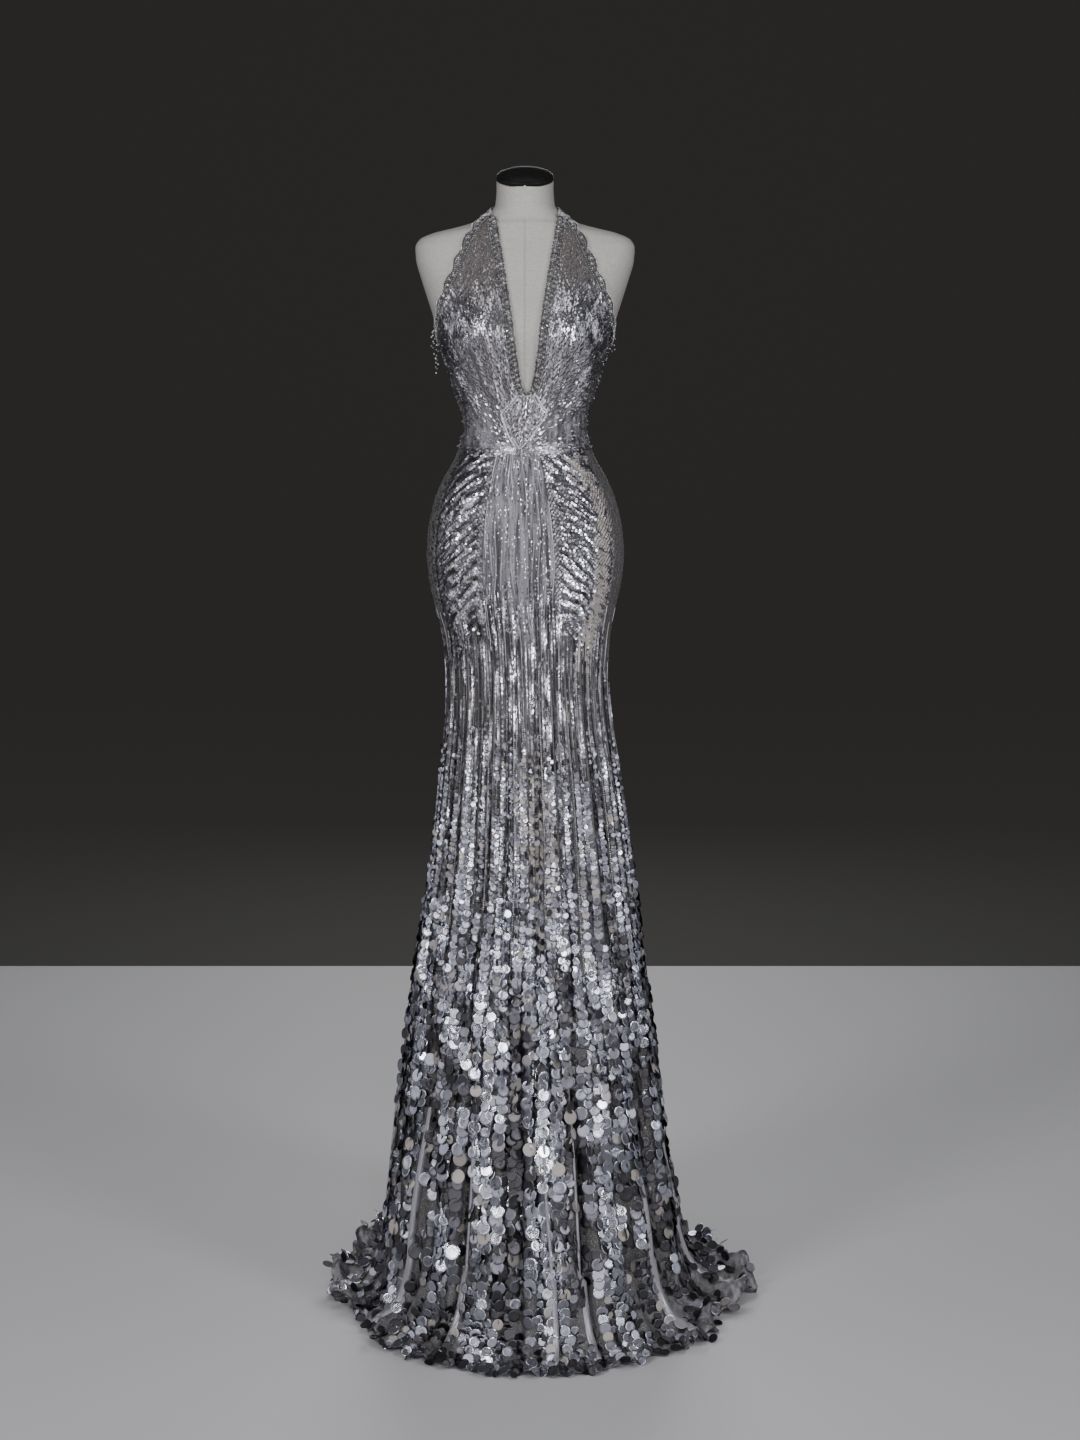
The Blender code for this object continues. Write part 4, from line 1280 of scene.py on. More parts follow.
@dataclass
class DressForm:
    """The limbless form with its neck cap and the cap's screw."""

    body: BodySurface
    finishes: Finishes
    columns: int = 132
    foot: float = 1.1000
    shoulder: float = 1.64
    neck_rings: tuple = (1.746, 1.752, 1.757)
    seam_width: float = 0.0016
    neck_seam_width: float = 0.0018
    seam_depth: float = 0.0007
    cap_radius: float = 0.0446
    cap_rise: float = 0.013
    cap_rim: float = 0.004
    cap_gap: float = 0.0003
    screw_radius: float = 0.0017
    screw_rise: float = 0.0009

    def build(self) -> None:
        """Make the form, its seams, the cap and the screw."""
        self._torso()
        self._cap()

    def _heights(self) -> Array:
        """Return the heights of the form's rings.

        Returns:
            Heights from the foot up.
        """
        low = np.linspace(self.foot, self.shoulder, 90, endpoint=False)
        high = np.linspace(self.shoulder, self.neck_rings[0], 60, endpoint=False)
        return np.concatenate([low, high, self.neck_rings])

    def _torso(self) -> None:
        """Make the form: rings from its foot to the neck, whose top is cut on a slope."""
        angle = np.linspace(-180.0, 180.0, self.columns + 1)
        z = self._heights()[:, None]
        inward = self.body.normal(angle[None, :], z) * self._grooves(angle[None, :], z)[..., None]
        grid = self.body.point(angle[None, :], z, FORM_BUST_RISE) - inward
        top = self.body.point(angle, NECK_TOP)
        lean = math.tan(math.radians(NECK_TILT))
        top[:, 2] = top[:, 2] + (top[:, 1] - self.body.axis[1]) * lean
        foot = grid[:1] * 1.0
        foot[..., :2] = np.array(self.body.axis)
        crown = top[None] * 1.0
        crown[...] = (*self.body.axis, NECK_TOP)
        grid = np.concatenate([foot, grid, top[None], crown])
        faces = grid_faces(*grid.shape[:2])
        torso = make_object("form_shell", grid.reshape(-1, 3), faces, self.finishes.linen)
        torso.modifiers.new("weld", "WELD").merge_threshold = WELD
        torso.data.set_sharp_from_angle(angle=math.radians(50.0))
        report(torso, "linen", "form_torso")

    def _grooves(self, angle: Array, z: Array) -> Array:
        """Return how deep the grooves of the centre seam and of the neck's seam are.

        Args:
            angle: Degrees round the body.
            z: Heights over the floor.

        Returns:
            Depths in metres.
        """
        place = self.body.point(angle, z)
        ahead = place[..., 1] < self.body.axis[1]
        x = place[..., 0] - self.body.axis[0]
        centre = np.exp(-((x / self.seam_width) ** 2)) * ahead
        neck = np.exp(-(((z - NECK_SEAM) / self.neck_seam_width) ** 2)) * np.ones_like(x)
        return self.seam_depth * np.maximum(centre, neck)

    def _cap(self) -> None:
        """Make the domed cap, and the slotted screw in the front of its rim."""
        tilt = math.radians(NECK_TILT)
        ahead = Vector((0.0, -math.cos(tilt), -math.sin(tilt)))
        up = Vector((0.0, -math.sin(tilt), math.cos(tilt)))
        foot = Vector((*self.body.axis, NECK_TOP)) + up * self.cap_gap
        turn = np.linspace(0.0, math.pi / 2, 14)
        wide = self.cap_radius
        dome = np.stack([wide * np.cos(turn), self.cap_rim + self.cap_rise * np.sin(turn)], axis=-1)
        edge = np.array([[0.0, 0.0], [wide * 0.97, 0.0], [wide, 0.0008]])
        profile = np.concatenate([edge, dome])
        cap = turned_mesh("neck_cap_dome", profile, 72, self.finishes.lacquer, foot, tilt)
        report(cap, "black_wood", "neck_cap")
        r = self.screw_radius
        h = self.screw_rise
        head = [(0.0, 0.0), (r, 0.0), (r, h * 0.6), (r * 0.8, h)]
        head += [(r * 0.4, h), (r * 0.35, h * 0.5), (0.0, h * 0.5)]
        place = foot + up * self.cap_rim / 2.0 + ahead * (wide + self.cap_gap)
        lean = tilt + math.pi / 2
        screw = turned_mesh("cap_screw_head", np.array(head), 24, self.finishes.steel, place, lean)
        report(screw, "steel", "cap_screw")


@dataclass
class PoleStand:
    """The pole with its flange, and the weighted base with its socket."""

    body: BodySurface
    finishes: Finishes
    pole_radius: float = 0.0160
    flange_radius: float = 0.0420
    base_radius: float = 0.1700
    socket_radius: float = 0.0300
    top: float = 1.0997

    def build(self) -> None:
        """Make the pole and the base."""
        r = self.pole_radius
        f = self.flange_radius
        t = self.top
        pole = [(0.0, 0.0703), (r, 0.0703), (r, 0.60), (r * 1.05, 0.604), (r * 1.05, 0.640)]
        pole += [(r * 0.92, 0.644), (r * 0.92, t - 0.024), (f, t - 0.008), (f, t - 0.001)]
        pole += [(f - 0.001, t), (0.0, t)]
        self._turned("stand_pole_tube", pole, 48, "stand_pole")
        b = self.base_radius
        s = self.socket_radius
        base = [(0.0, 0.0), (b - 0.001, 0.0), (b, 0.0015), (b, 0.0090), (b - 0.003, 0.0108)]
        base += [(b * 0.6, 0.0208), (s + 0.006, 0.0255), (s, 0.030), (s, 0.062)]
        base += [(s - 0.003, 0.0695), (s - 0.006, 0.0700), (0.0, 0.0700)]
        self._turned("stand_base_plate", base, 96, "stand_base")

    def _turned(self, name: str, profile: list, steps: int, node: str) -> None:
        """Turn one piece round the pole's axis.

        Args:
            name: Name of the piece.
            profile: Radius and height of each ring.
            steps: Points round it.
            node: The solid it replaces.
        """
        place = (*self.body.axis, 0.0)
        item = turned_mesh(name, np.array(profile), steps, self.finishes.iron, place)
        report(item, "iron", node)


class SkirtForm:
    """The skirt's surface: body, deep folds, pleats, gathers and ruches."""

    def __init__(self, body: BodySurface) -> None:
        """Read the seam and pleat tables.

        Args:
            body: The form's body.
        """
        self.body = body
        self.seam_curves = (table(FRONT_SEAMS, 1), table(FRONT_SEAMS, 2))
        self.pleat_depth = table(PLEAT_DEPTH)

    def seams(self, z: Array) -> tuple[Array, Array]:
        """Return the angles of the seams to the left and right of the centre front."""
        left, right = self.seam_curves
        return left(z), right(z)

    def _ends(self, place: Array, z: Array) -> tuple[Array, list]:
        """Return the place spread over z, and the angles at which the panels meet."""
        place, left, right = np.broadcast_arrays(np.asarray(place, float), *self.seams(z))
        return place, [-180.0, -SIDE_SEAM, left, right, SIDE_SEAM, 180.0]

    def column(self, angle: Array, z: Array) -> Array:
        """Return the place counted in pleat columns from the centre back, round to the front.

        Args:
            angle: Degrees round the pole.
            z: Heights.

        Returns:
            Columns from 0 to the last knot.
        """
        angle, ends = self._ends(angle, z)
        place = np.zeros(angle.shape)
        for first, last, count in zip(ends, ends[1:], np.diff(COLUMN_KNOTS)):
            place = place + count * np.clip((angle - first) / (last - first), 0.0, 1.0)
        return place

    def angle_of(self, column: Array, z: Array) -> Array:
        """Return the angle at which a pleat column lies at a height.

        Args:
            column: Place in columns.
            z: Heights.

        Returns:
            Degrees round the pole.
        """
        column, ends = self._ends(column, z)
        angle = np.full(column.shape, -180.0)
        for i, count in enumerate(np.diff(COLUMN_KNOTS)):
            share = np.clip((column - COLUMN_KNOTS[i]) / count, 0.0, 1.0)
            angle = angle + (ends[i + 1] - ends[i]) * share
        return angle

    def wandering(self, column: Array, z: Array) -> Array:
        """Return how far the pleats wander sideways, in columns."""
        uneven = 0.24 * np.sin(column * 2.1) * ease((z - 0.40) / 0.25)
        return 0.22 * np.sin(z * 17.0 + column * 0.9) * ease((0.9 - z) / 0.5) + uneven

    def crest_column(self, pleat: Array, z: Array) -> Array:
        """Return the column at which a place counted from the hem's pleats really lies."""
        return pleat - self.wandering(pleat, z)

    def pleats(self, column: Array, z: Array) -> Array:
        """Return how far the small pleats stand out.

        Args:
            column: Place between the columns.
            z: Heights over the floor.

        Returns:
            Metres outward.
        """
        moved = column + self.wandering(column, z)
        uneven = 0.78 + 0.40 * np.sin(np.floor(moved / 2.0) * 2.4)
        return self.pleat_depth(z) * swell(moved / 2.0) * uneven

    def folds(self, angle: Array, z: Array) -> Array:
        """Return the deep folds' displacement, which is inward.

        Args:
            angle: Degrees round the body.
            z: Heights over the floor.

        Returns:
            Metres outward, below zero.
        """
        dip = np.zeros(np.broadcast(angle, z).shape)
        for fold in FOLDS:
            away = (np.asarray(angle) - fold.angle + 180.0) % 360.0 - 180.0
            grown = ease((fold.top - z) / FOLD_FADE)
            dip = dip - fold.depth * grown * np.exp(-((away / fold.width) ** 2))
        return dip

    def course_drop(self, angle: Array, z: Array) -> tuple[Array, Array]:
        """Return how far the course through a place has dropped, and how far along its panel it is.

        Args:
            angle: Where the place is round the pole.
            z: How high it is.

        Returns:
            The drop since the centre panel's seam, in metres, and a share from 0 to 1.
        """
        angle = np.asarray(angle, float)
        left, right = self.seams(z)
        span = np.where(angle < 0.0, left + SIDE_SEAM, SIDE_SEAM - right)
        past = np.where(angle < 0.0, left - angle, angle - right)
        along = np.clip(past / span, 0.0, 1.0)
        run = np.radians(span) * along * 0.5 * (self.body.half_width(z) + self.body.front(z))
        return COURSE_SLOPE * run + COURSE_BEND * run * run, along

    def ruches(self, angle: Array, z: Array) -> tuple[Array, Array]:
        """Return the ruches' phase in turns, and how strong they are.

        Args:
            angle: Degrees round the body.
            z: Heights over the floor.

        Returns:
            Phase and strength.
        """
        drop, along = self.course_drop(angle, z)
        start = z + drop
        waver = 0.28 * wander(angle / 26.0, z / 0.12, 5)
        strong = ease((along - 0.005) / 0.05) * ease((0.68 - along) / 0.34)
        strong = strong * ease((start - RUCHE_FOOT) / 0.05) * ease((WAIST_Z - z) / 0.010)
        return (start - RUCHE_FOOT) / RUCHE_PITCH + waver, strong

    @staticmethod
    def gather_wave(share: Array, z: Array) -> Array:
        """Return how far the gathers stray to the side, counted in gathers."""
        return 0.35 * wander(share * 2.0, z / 0.14, 6)

    def gathers(self, angle: Array, z: Array) -> Array:
        """Return the upright gathers of the centre front panel.

        Args:
            angle: Degrees round the body.
            z: Heights over the floor.

        Returns:
            Metres outward.
        """
        left, right = self.seams(z)
        share = (angle - left) / (right - left)
        inside = ease(share / 0.04) * ease((1.0 - share) / 0.04)
        phase = share * GATHERS + self.gather_wave(share, z)
        return GATHER_RISE * inside * ease((z - 1.02) / 0.10) * swell(phase)

    def satin(self, angle: Array, z: Array) -> Array:
        """Return how far the cloth is bare satin: the centre front, and some pleats below it.

        Args:
            angle: Degrees round the body.
            z: Heights over the floor.

        Returns:
            Shares from 0 to 1.
        """
        left, right = self.seams(z)
        inside = ease((angle - left) / 2.0 + 0.5) * ease((right - angle) / 2.0 + 0.5)
        pleat = np.clip(wander(self.column(angle, z) / 1.7, z / 0.35, 7) * 1.6, 0.0, 0.75)
        pleat = pleat * ease((1.08 - z) / 0.1) * ease((z - 0.50) / 0.20)
        return np.maximum(inside * ease((z - 1.03) / 0.07), pleat)

    def sunk(self, angle: Array, z: Array) -> Array:
        """Return how deep in a fold a place lies, from 0 to 1."""
        return np.clip(-self.folds(angle, z) / 0.010, 0.0, 1.0)

    def relief(self, angle: Array, z: Array) -> Array:
        """Return how far the cloth stands off the body surface.

        Args:
            angle: Degrees round the body.
            z: Heights over the floor.

        Returns:
            Metres outward.
        """
        angle, z = np.broadcast_arrays(np.asarray(angle, float), np.asarray(z, float))
        column = self.column(angle, z)
        band = ease((1.09 - z) / 0.1) * ease((z - 0.3) / 0.2)
        fine = 0.0009 * np.cos(TURN * column) * band
        phase, strong = self.ruches(angle, z)
        ruche = RUCHE_RISE * strong * swell(phase)
        stand = self.folds(angle, z) + self.pleats(column, z) + fine + ruche
        return CLOTH_GAP + stand + self.gathers(angle, z)

    def outside(self, angle: Array, z: Array, extra: float = SHEET) -> Array:
        """Return points on the cloth's outside, or `extra` off its inside."""
        return self.body.offset(angle, z, self.relief(angle, z) + extra)


class Patch(NamedTuple):
    """One skirt or flounce panel: its name and its two edges in columns."""

    name: str
    first: int
    last: int

    def columns(self, cells: int) -> Array:
        """Return places from edge to edge, with a number of cells in each column."""
        return np.linspace(self.first, self.last, (self.last - self.first) * cells + 1)


SKIRT_PANELS = ("back_left", "side_left", "front", "side_right", "back_right")
SKIRT_PATCHES = [
    Patch("skirt_" + word, first, last)
    for word, first, last in zip(SKIRT_PANELS, COLUMN_KNOTS, COLUMN_KNOTS[1:])
]
FLOUNCE_PATCHES = [
    Patch("hem_flounce_back_left", 0, 16),
    Patch("hem_flounce_front", 16, 68),
    Patch("hem_flounce_back_right", 68, 84),
]


class FlounceForm:
    """The flounce's surface, from the skirt (up = 1) to its edge on the floor (up = 0)."""

    def __init__(self, skirt: SkirtForm) -> None:
        """Read the hem table and spread its ruffles over the skirt's columns.

        Args:
            skirt: The skirt that it hangs from.
        """
        self.skirt = skirt
        self.body = skirt.body
        self.reach = table(HEM, 1)
        self.lift = table(HEM, 2)
        self.crests = self._crests()

    @staticmethod
    def _crests() -> Array:
        """Return a share from 0 to 1 for each column: 0 in the troughs, uneven on the crests.

        Returns:
            One share for each column.
        """
        counts = [patch.last - patch.first for patch in FLOUNCE_PATCHES]
        local = np.concatenate([*(np.arange(count) for count in counts), [0]])
        uneven = 0.62 + 0.38 * np.sin(local * 1.9) * np.cos(local * 0.47)
        return (local % 2) * uneven

    def crest(self, column: Array) -> Array:
        """Return the ruffles' share at a place between the columns.

        Args:
            column: Place between the columns.

        Returns:
            Shares from 0 to 1.
        """
        low = np.clip(np.floor(column).astype(int), 0, len(self.crests) - 2)
        turn = swell(np.clip(column - low, 0.0, 1.0) / 2.0)
        return self.crests[low] * (1.0 - turn) + self.crests[low + 1] * turn

    def base(self, angle: Array, up: Array) -> Array:
        """Return the smooth flounce without its ruffles.

        Args:
            angle: Degrees round the pole.
            up: Share of the way up from the floor's edge.

        Returns:
            Points on a bent sweep from the skirt to the floor.
        """
        top = self.body.offset(angle, HEM_TOP, CLOTH_GAP + SHEET + self.skirt.folds(angle, HEM_TOP))
        away = outward(angle)
        edge = away * self.reach(angle)[..., None]
        edge[..., 0] += BODY[0].drift + self.body.axis[0]
        edge[..., 1] += self.body.axis[1]
        edge[..., 2] = HEM_LIE + SHEET
        run = np.linalg.norm(edge[..., :2] - top[..., :2], axis=-1)[..., None]
        leave = top + np.array([0.0, 0.0, -0.075]) + away * 0.15 * run
        arrive = edge - away * 0.62 * run
        t = (1.0 - up)[..., None]
        s = 1.0 - t
        return s**3 * top + 3 * s * s * t * leave + 3 * s * t * t * arrive + t**3 * edge

    def loose(self, angle: Array) -> Array:
        """Return how freely the flounce crumples: little in front, fully at the sides and back."""
        return 0.15 + 0.85 * ease((np.abs(angle) - 36.0) / 30.0)

    @staticmethod
    def rim(column: Array) -> Array:
        """Return the uneven place of the flounce's edge, a little above or below 0."""
        level = column * 0.0
        return 0.030 * wander(column / 2.6, level, 15) + 0.022 * wander(column / 0.9, level, 16)

    @staticmethod
    def _grown(share: Array) -> Array:
        """Return how far the ruffles have opened at a share of the way down."""
        return ease((share - RUFFLE_START) / (1.0 - RUFFLE_START))

    def curl(self, column: Array, share: Array, loose: Array) -> Array:
        """Return how far the crests wander sideways, in columns.

        Args:
            column: Place between the columns.
            share: Share of the way down.
            loose: How free the cloth is.

        Returns:
            Columns to the side.
        """
        grown = self._grown(share)
        wave = 0.55 * loose * np.sin(share * 7.0 + column * 1.3)
        return self.skirt.wandering(column, HEM_TOP) * (1.0 - grown) + grown * wave

    def outside(self, angle: Array, up: Array, extra: float = 0.0) -> Array:
        """Return points on the flounce's outside.

        Args:
            angle: Degrees round the pole.
            up: Share of the way up from the floor's edge.
            extra: How far the points are moved out.

        Returns:
            Points, none of them below the floor.
        """
        angle, up = np.broadcast_arrays(np.asarray(angle, float), np.asarray(up, float))
        share = 1.0 - up
        across = self.base(angle + 1.0, up) - self.base(angle - 1.0, up)
        along = self.base(angle, up + 0.01) - self.base(angle, up - 0.01)
        normal = unit(np.cross(across, along))
        column = self.skirt.column(angle, np.full_like(angle, HEM_TOP))
        grown = self._grown(share)
        loose = self.loose(angle)
        crest = self.crest(column + self.curl(column, share, loose))
        early = self.skirt.pleats(column, HEM_TOP) * (1.0 - grown)
        lift = self.lift(angle) * crest * grown
        ridge = 0.7 - np.abs(wander(angle / 8.0, share * 2.6, 11)) * 1.4
        fine = 0.35 * wander(angle / 3.2, share * 5.0, 12)
        crumple = CRUMPLE_RISE * grown * loose * (ridge * (0.35 + 0.65 * crest) + fine)
        sway = RUFFLE_SWAY * (crest - 0.5) * grown
        place = self.base(angle, up) + normal * (early + lift + crumple + extra)[..., None]
        place = place + outward(angle) * sway[..., None]
        place[..., 2] = np.maximum(place[..., 2], HEM_LIE + extra)
        return place


@dataclass
class Skirt:
    """The five skirt panels as thin pleated cloth, with the proud edges of some pleats."""

    skirt: SkirtForm
    flounce: FlounceForm
    finishes: Finishes
    low_rows: int = 46
    high_rows: int = 84
    middle: float = 1.00
    cells: int = 3
    edge_width: float = 0.46  # in columns
    edge_rise: float = 0.0078
    edge_rows: int = 60
    edge_rows_on_floor: int = 16

    def build(self) -> None:
        """Make the panels and the pleat edges."""
        low = np.linspace(HEM_TOP, self.middle, self.low_rows, endpoint=False)
        z = np.concatenate([low, np.linspace(self.middle, WAIST_Z, self.high_rows)])[:, None]
        for patch in SKIRT_PATCHES:
            angle = self.skirt.angle_of(patch.columns(self.cells)[None, :], z)
            outer = self.skirt.outside(angle, z)
            inner = self.skirt.outside(angle, z, 0.0)
            satin = self.skirt.satin(angle, np.broadcast_to(z, angle.shape))
            name = patch.name + "_cloth"
            panel = make_shell(name, [outer], [inner], self.finishes.skirt_tulle, satin)
            report(panel, SEQUINS, patch.name)
        edges = [self._fold_edge(edge) for edge in FOLD_EDGES]
        outer, inner = zip(*edges)
        report(make_shell("skirt_fold_edges", outer, inner, self.finishes.organza), SEQUINS)

    def _fold_edge(self, edge: FoldEdge) -> tuple[Array, Array]:
        """Lay the narrow proud edge of one pleat, from its top down to the hem.

        Args:
            edge: Which pleat, and how its edge leans.

        Returns:
            The outer and the inner grid of points.
        """
        shares = np.array([0.0, 0.5, 1.0])
        rise_of = np.array([0.0, 0.75, 1.0])
        z = np.linspace(edge.top, HEM_TOP, self.edge_rows)
        up = np.linspace(1.0, 0.10, self.edge_rows_on_floor)[1:]
        across = shares * self.edge_width * edge.lean
        crest = self.skirt.crest_column(edge.column, z)
        angle = self.skirt.angle_of(crest[:, None] + across, z[:, None])
        height = self.edge_rise * ease((edge.top - z) / 0.10)[:, None] * rise_of
        high = np.broadcast_to(z[:, None], angle.shape)
        stand = self.skirt.relief(angle, high) + SHEET + height
        on_skirt = self.skirt.body.offset(angle, high, stand)
        loose = self.flounce.loose(self.skirt.angle_of(edge.column, HEM_TOP))
        wave = self.flounce.curl(np.full(len(up), edge.column), 1.0 - up, loose)
        angle = self.skirt.angle_of((edge.column - wave)[:, None] + across, HEM_TOP)
        lying = np.broadcast_to(up[:, None], angle.shape)
        origin, axes = frames_on(self.flounce.outside, angle, lying, 0.35, 0.02)
        on_floor = origin + axes[..., 2, :] * (self.edge_rise * rise_of)[None, :, None]
        front = np.concatenate([on_skirt, on_floor])[::-1]
        if edge.lean < 0:
            front = front[:, ::-1]
        side = unit(np.cross(front[:, 2] - front[:, 0], np.gradient(front[:, 1], axis=0)))
        half = side[:, None] * SHEET * 0.5
        return front + half, front - half


@dataclass
class Flounce:
    """The ruffled flounce on the floor as thin cloth."""

    flounce: FlounceForm
    finishes: Finishes
    rows: int = 34
    cells: int = 6

    def build(self) -> None:
        """Make the three stretches."""
        for patch in FLOUNCE_PATCHES:
            column = patch.columns(self.cells)
            rim = self.flounce.rim(column)
            up = rim + (1.0 - rim) * np.linspace(0.0, 1.0, self.rows)[:, None]
            angle = self.flounce.skirt.angle_of(column[None, :], np.full_like(up, HEM_TOP))
            outer = self.flounce.outside(angle, up)
            inner = self.flounce.outside(angle, up, -SHEET)
            inner[..., 2] = np.maximum(inner[..., 2], HEM_LIE * 0.5)
            satin = 0.15 + 0.35 * self.flounce.loose(angle) * ease((0.9 - up) / 0.3)
            satin = satin + 0.3 * ease((0.2 - up) / 0.2)
            name = patch.name + "_cloth"
            stretch = make_shell(name, [outer], [inner], self.finishes.skirt_tulle, satin)
            report(stretch, SEQUINS, patch.name)


class BodiceForm:
    """The bodice's surface with its gathers, and its edges."""

    def __init__(self, body: BodySurface) -> None:
        """Read the edge tables.

        Args:
            body: The form's body.
        """
        self.body = body
        self.neckline = table(NECKLINE)
        self.armhole = table(ARMHOLE)
        self.back_top = table(BACK_TOP)
        self.motif = table(MOTIF)
        self.strap_low = table(STRAP, 1)
        self.strap_high = table(STRAP, 2)

    def centre_x(self, z: Array) -> Array:
        """Return x of the line where the two fronts meet."""
        return np.interp(z, [WAIST_Z, NECKLINE_POINT], [MOTIF_FOOT, NECKLINE_CENTRE])

    def inner_angle(self, side: Side, z: Array) -> Array:
        """Return the angle of a front's inner edge."""
        return self.body.angle_at(self.centre_x(z) + side.value * self.neckline(z), z)

    def outer_angle(self, side: Side, z: Array) -> Array:
        """Return the angle of a front's outer edge: the side seam, then the armhole."""
        return side.value * self.armhole(z)

    def strap(self, angle: Array, share: Array) -> Array:
        """Return heights on the neck strap at shares of its width.

        Args:
            angle: Degrees round the body.
            share: Share of the strap's width.

        Returns:
            Heights in metres.
        """
        folded = np.minimum(angle, 360.0 - angle)
        low = self.strap_low(folded)
        return low + (self.strap_high(folded) - low) * share

    def fan(self, angle: Array, z: Array) -> tuple[Array, Array, Array]:
        """Return x and height from the kite's foot, and the lean of the fan's line there.

        Args:
            angle: Degrees round the body.
            z: Heights over the floor.

        Returns:
            x, height and lean.
        """
        x = self.body.point(angle, z)[..., 0] - self.body.axis[0] - MOTIF_FOOT
        rise = np.asarray(z) - WAIST_Z
        lean = 1.25 * np.arctan2(x, rise + 0.012) * ease((1.575 - z) / 0.10)
        return x, rise, lean

    def satin(self, angle: Array, z: Array) -> Array:
        """Return how far the cloth is bare satin: the folds that sweep from the waist's sides.

        Args:
            angle: Degrees round the body.
            z: Heights over the floor.

        Returns:
            Shares from 0 to 1.
        """
        x, rise, _ = self.fan(angle, z)
        low = ease((0.085 - rise + 0.15 * np.abs(x)) / 0.060)
        return 0.95 * low * ease((np.abs(x) - 0.020) / 0.030) * (np.abs(angle) < SIDE_SEAM)

    def relief(self, angle: Array, z: Array) -> Array:
        """Return how far the cloth stands off the body surface, with gathers from the waist up.

        Args:
            angle: Degrees round the body.
            z: Heights over the floor.

        Returns:
            Metres outward.
        """
        x, rise, _ = self.fan(angle, z)
        turn = np.arctan2(x, rise + 0.020)
        near = ease((0.165 - rise) / 0.12) * (np.abs(angle) < SIDE_SEAM)
        far = ease((np.hypot(x, rise) - 0.012) / 0.03)
        phase = turn * 27.0 + 1.6 * np.sin(turn * 5.0) + 0.8 * wander(turn, rise / 0.08, 9)
        gather = BODICE_GATHER * (0.5 + 0.5 * np.sin(phase)) * near * far
        return CLOTH_GAP + 0.0003 + gather

    def outside(self, angle: Array, z: Array, extra: float = SHEET) -> Array:
        """Return points on the cloth's outside, or `extra` off its inside."""
        return self.body.offset(angle, z, self.relief(angle, z) + extra)


@dataclass
class Bodice:
    """The two halter fronts, the two low backs and the strap behind the neck as thin cloth."""

    bodice: BodiceForm
    finishes: Finishes
    columns: int = 52
    rows: int = 96
    strap_columns: int = 150
    strap_rows: int = 8

    def build(self) -> None:
        """Make the pieces."""
        for side in Side:
            self._front(side)
            self._back(side)
        start = STRAP[0][0]
        angle = np.linspace(start, 360.0 - start, self.strap_columns)[None, :]
        z = self.bodice.strap(angle, np.linspace(0.0, 1.0, self.strap_rows)[:, None])
        self._cloth("neck_strap", TRIM, angle, z)

    def _cloth(self, name: str, slot: str, angle: Array, z: Array, flip: bool = False) -> None:
        """Make one thin piece.

        Args:
            name: The solid that it replaces.
            slot: The record's material slot.
            angle: Angles of its grid.
            z: Heights of its grid.
            flip: Whether its columns run to the left as seen from outside.
        """
        angle, z = np.broadcast_arrays(angle, z)
        if flip:
            angle = angle[:, ::-1]
            z = z[:, ::-1]
        outer = self.bodice.outside(angle, z)
        inner = self.bodice.outside(angle, z, 0.0)
        satin = self.bodice.satin(angle, z)
        cloth = make_shell(name + "_cloth", [outer], [inner], self.finishes.bodice_tulle, satin)
        report(cloth, slot, name)

    def _front(self, side: Side) -> None:
        """Make one front, from the waist seam up to the neck.

        Args:
            side: Which side.
        """
        z = np.linspace(WAIST_Z, BODICE_TOP, self.rows)[:, None]
        first = self.bodice.inner_angle(side, z)
        last = self.bodice.outer_angle(side, z)
        angle = first + (last - first) * np.linspace(0.0, 1.0, self.columns)[None, :]
        self._cloth("bodice_front_" + side.word, MESH, angle, z, side is Side.LEFT)

    def _back(self, side: Side) -> None:
        """Make one half of the low back.

        Args:
            side: Which side.
        """
        angle = np.linspace(SIDE_SEAM, 180.0, self.columns)[None, :]
        share = np.linspace(0.0, 1.0, self.rows // 2)[:, None]
        z = WAIST_Z + (self.bodice.back_top(angle) - WAIST_Z) * share
        self._cloth("bodice_back_" + side.word, MESH, side.value * angle, z, side is Side.LEFT)


@dataclass
class HangingColumn:
    """One column of paillettes: its place in columns, top, size and how full it is."""

    place: float
    top: float
    size: float
    fill: float
    foot: float = 0.0  # its lowest height, or 0 where it runs on down the flounce


@dataclass
class PailletteRun:
    """The paillettes of all columns: column, height, place on the flounce, size and side."""

    column: Array
    z: Array
    up: Array
    size: Array
    side: Array


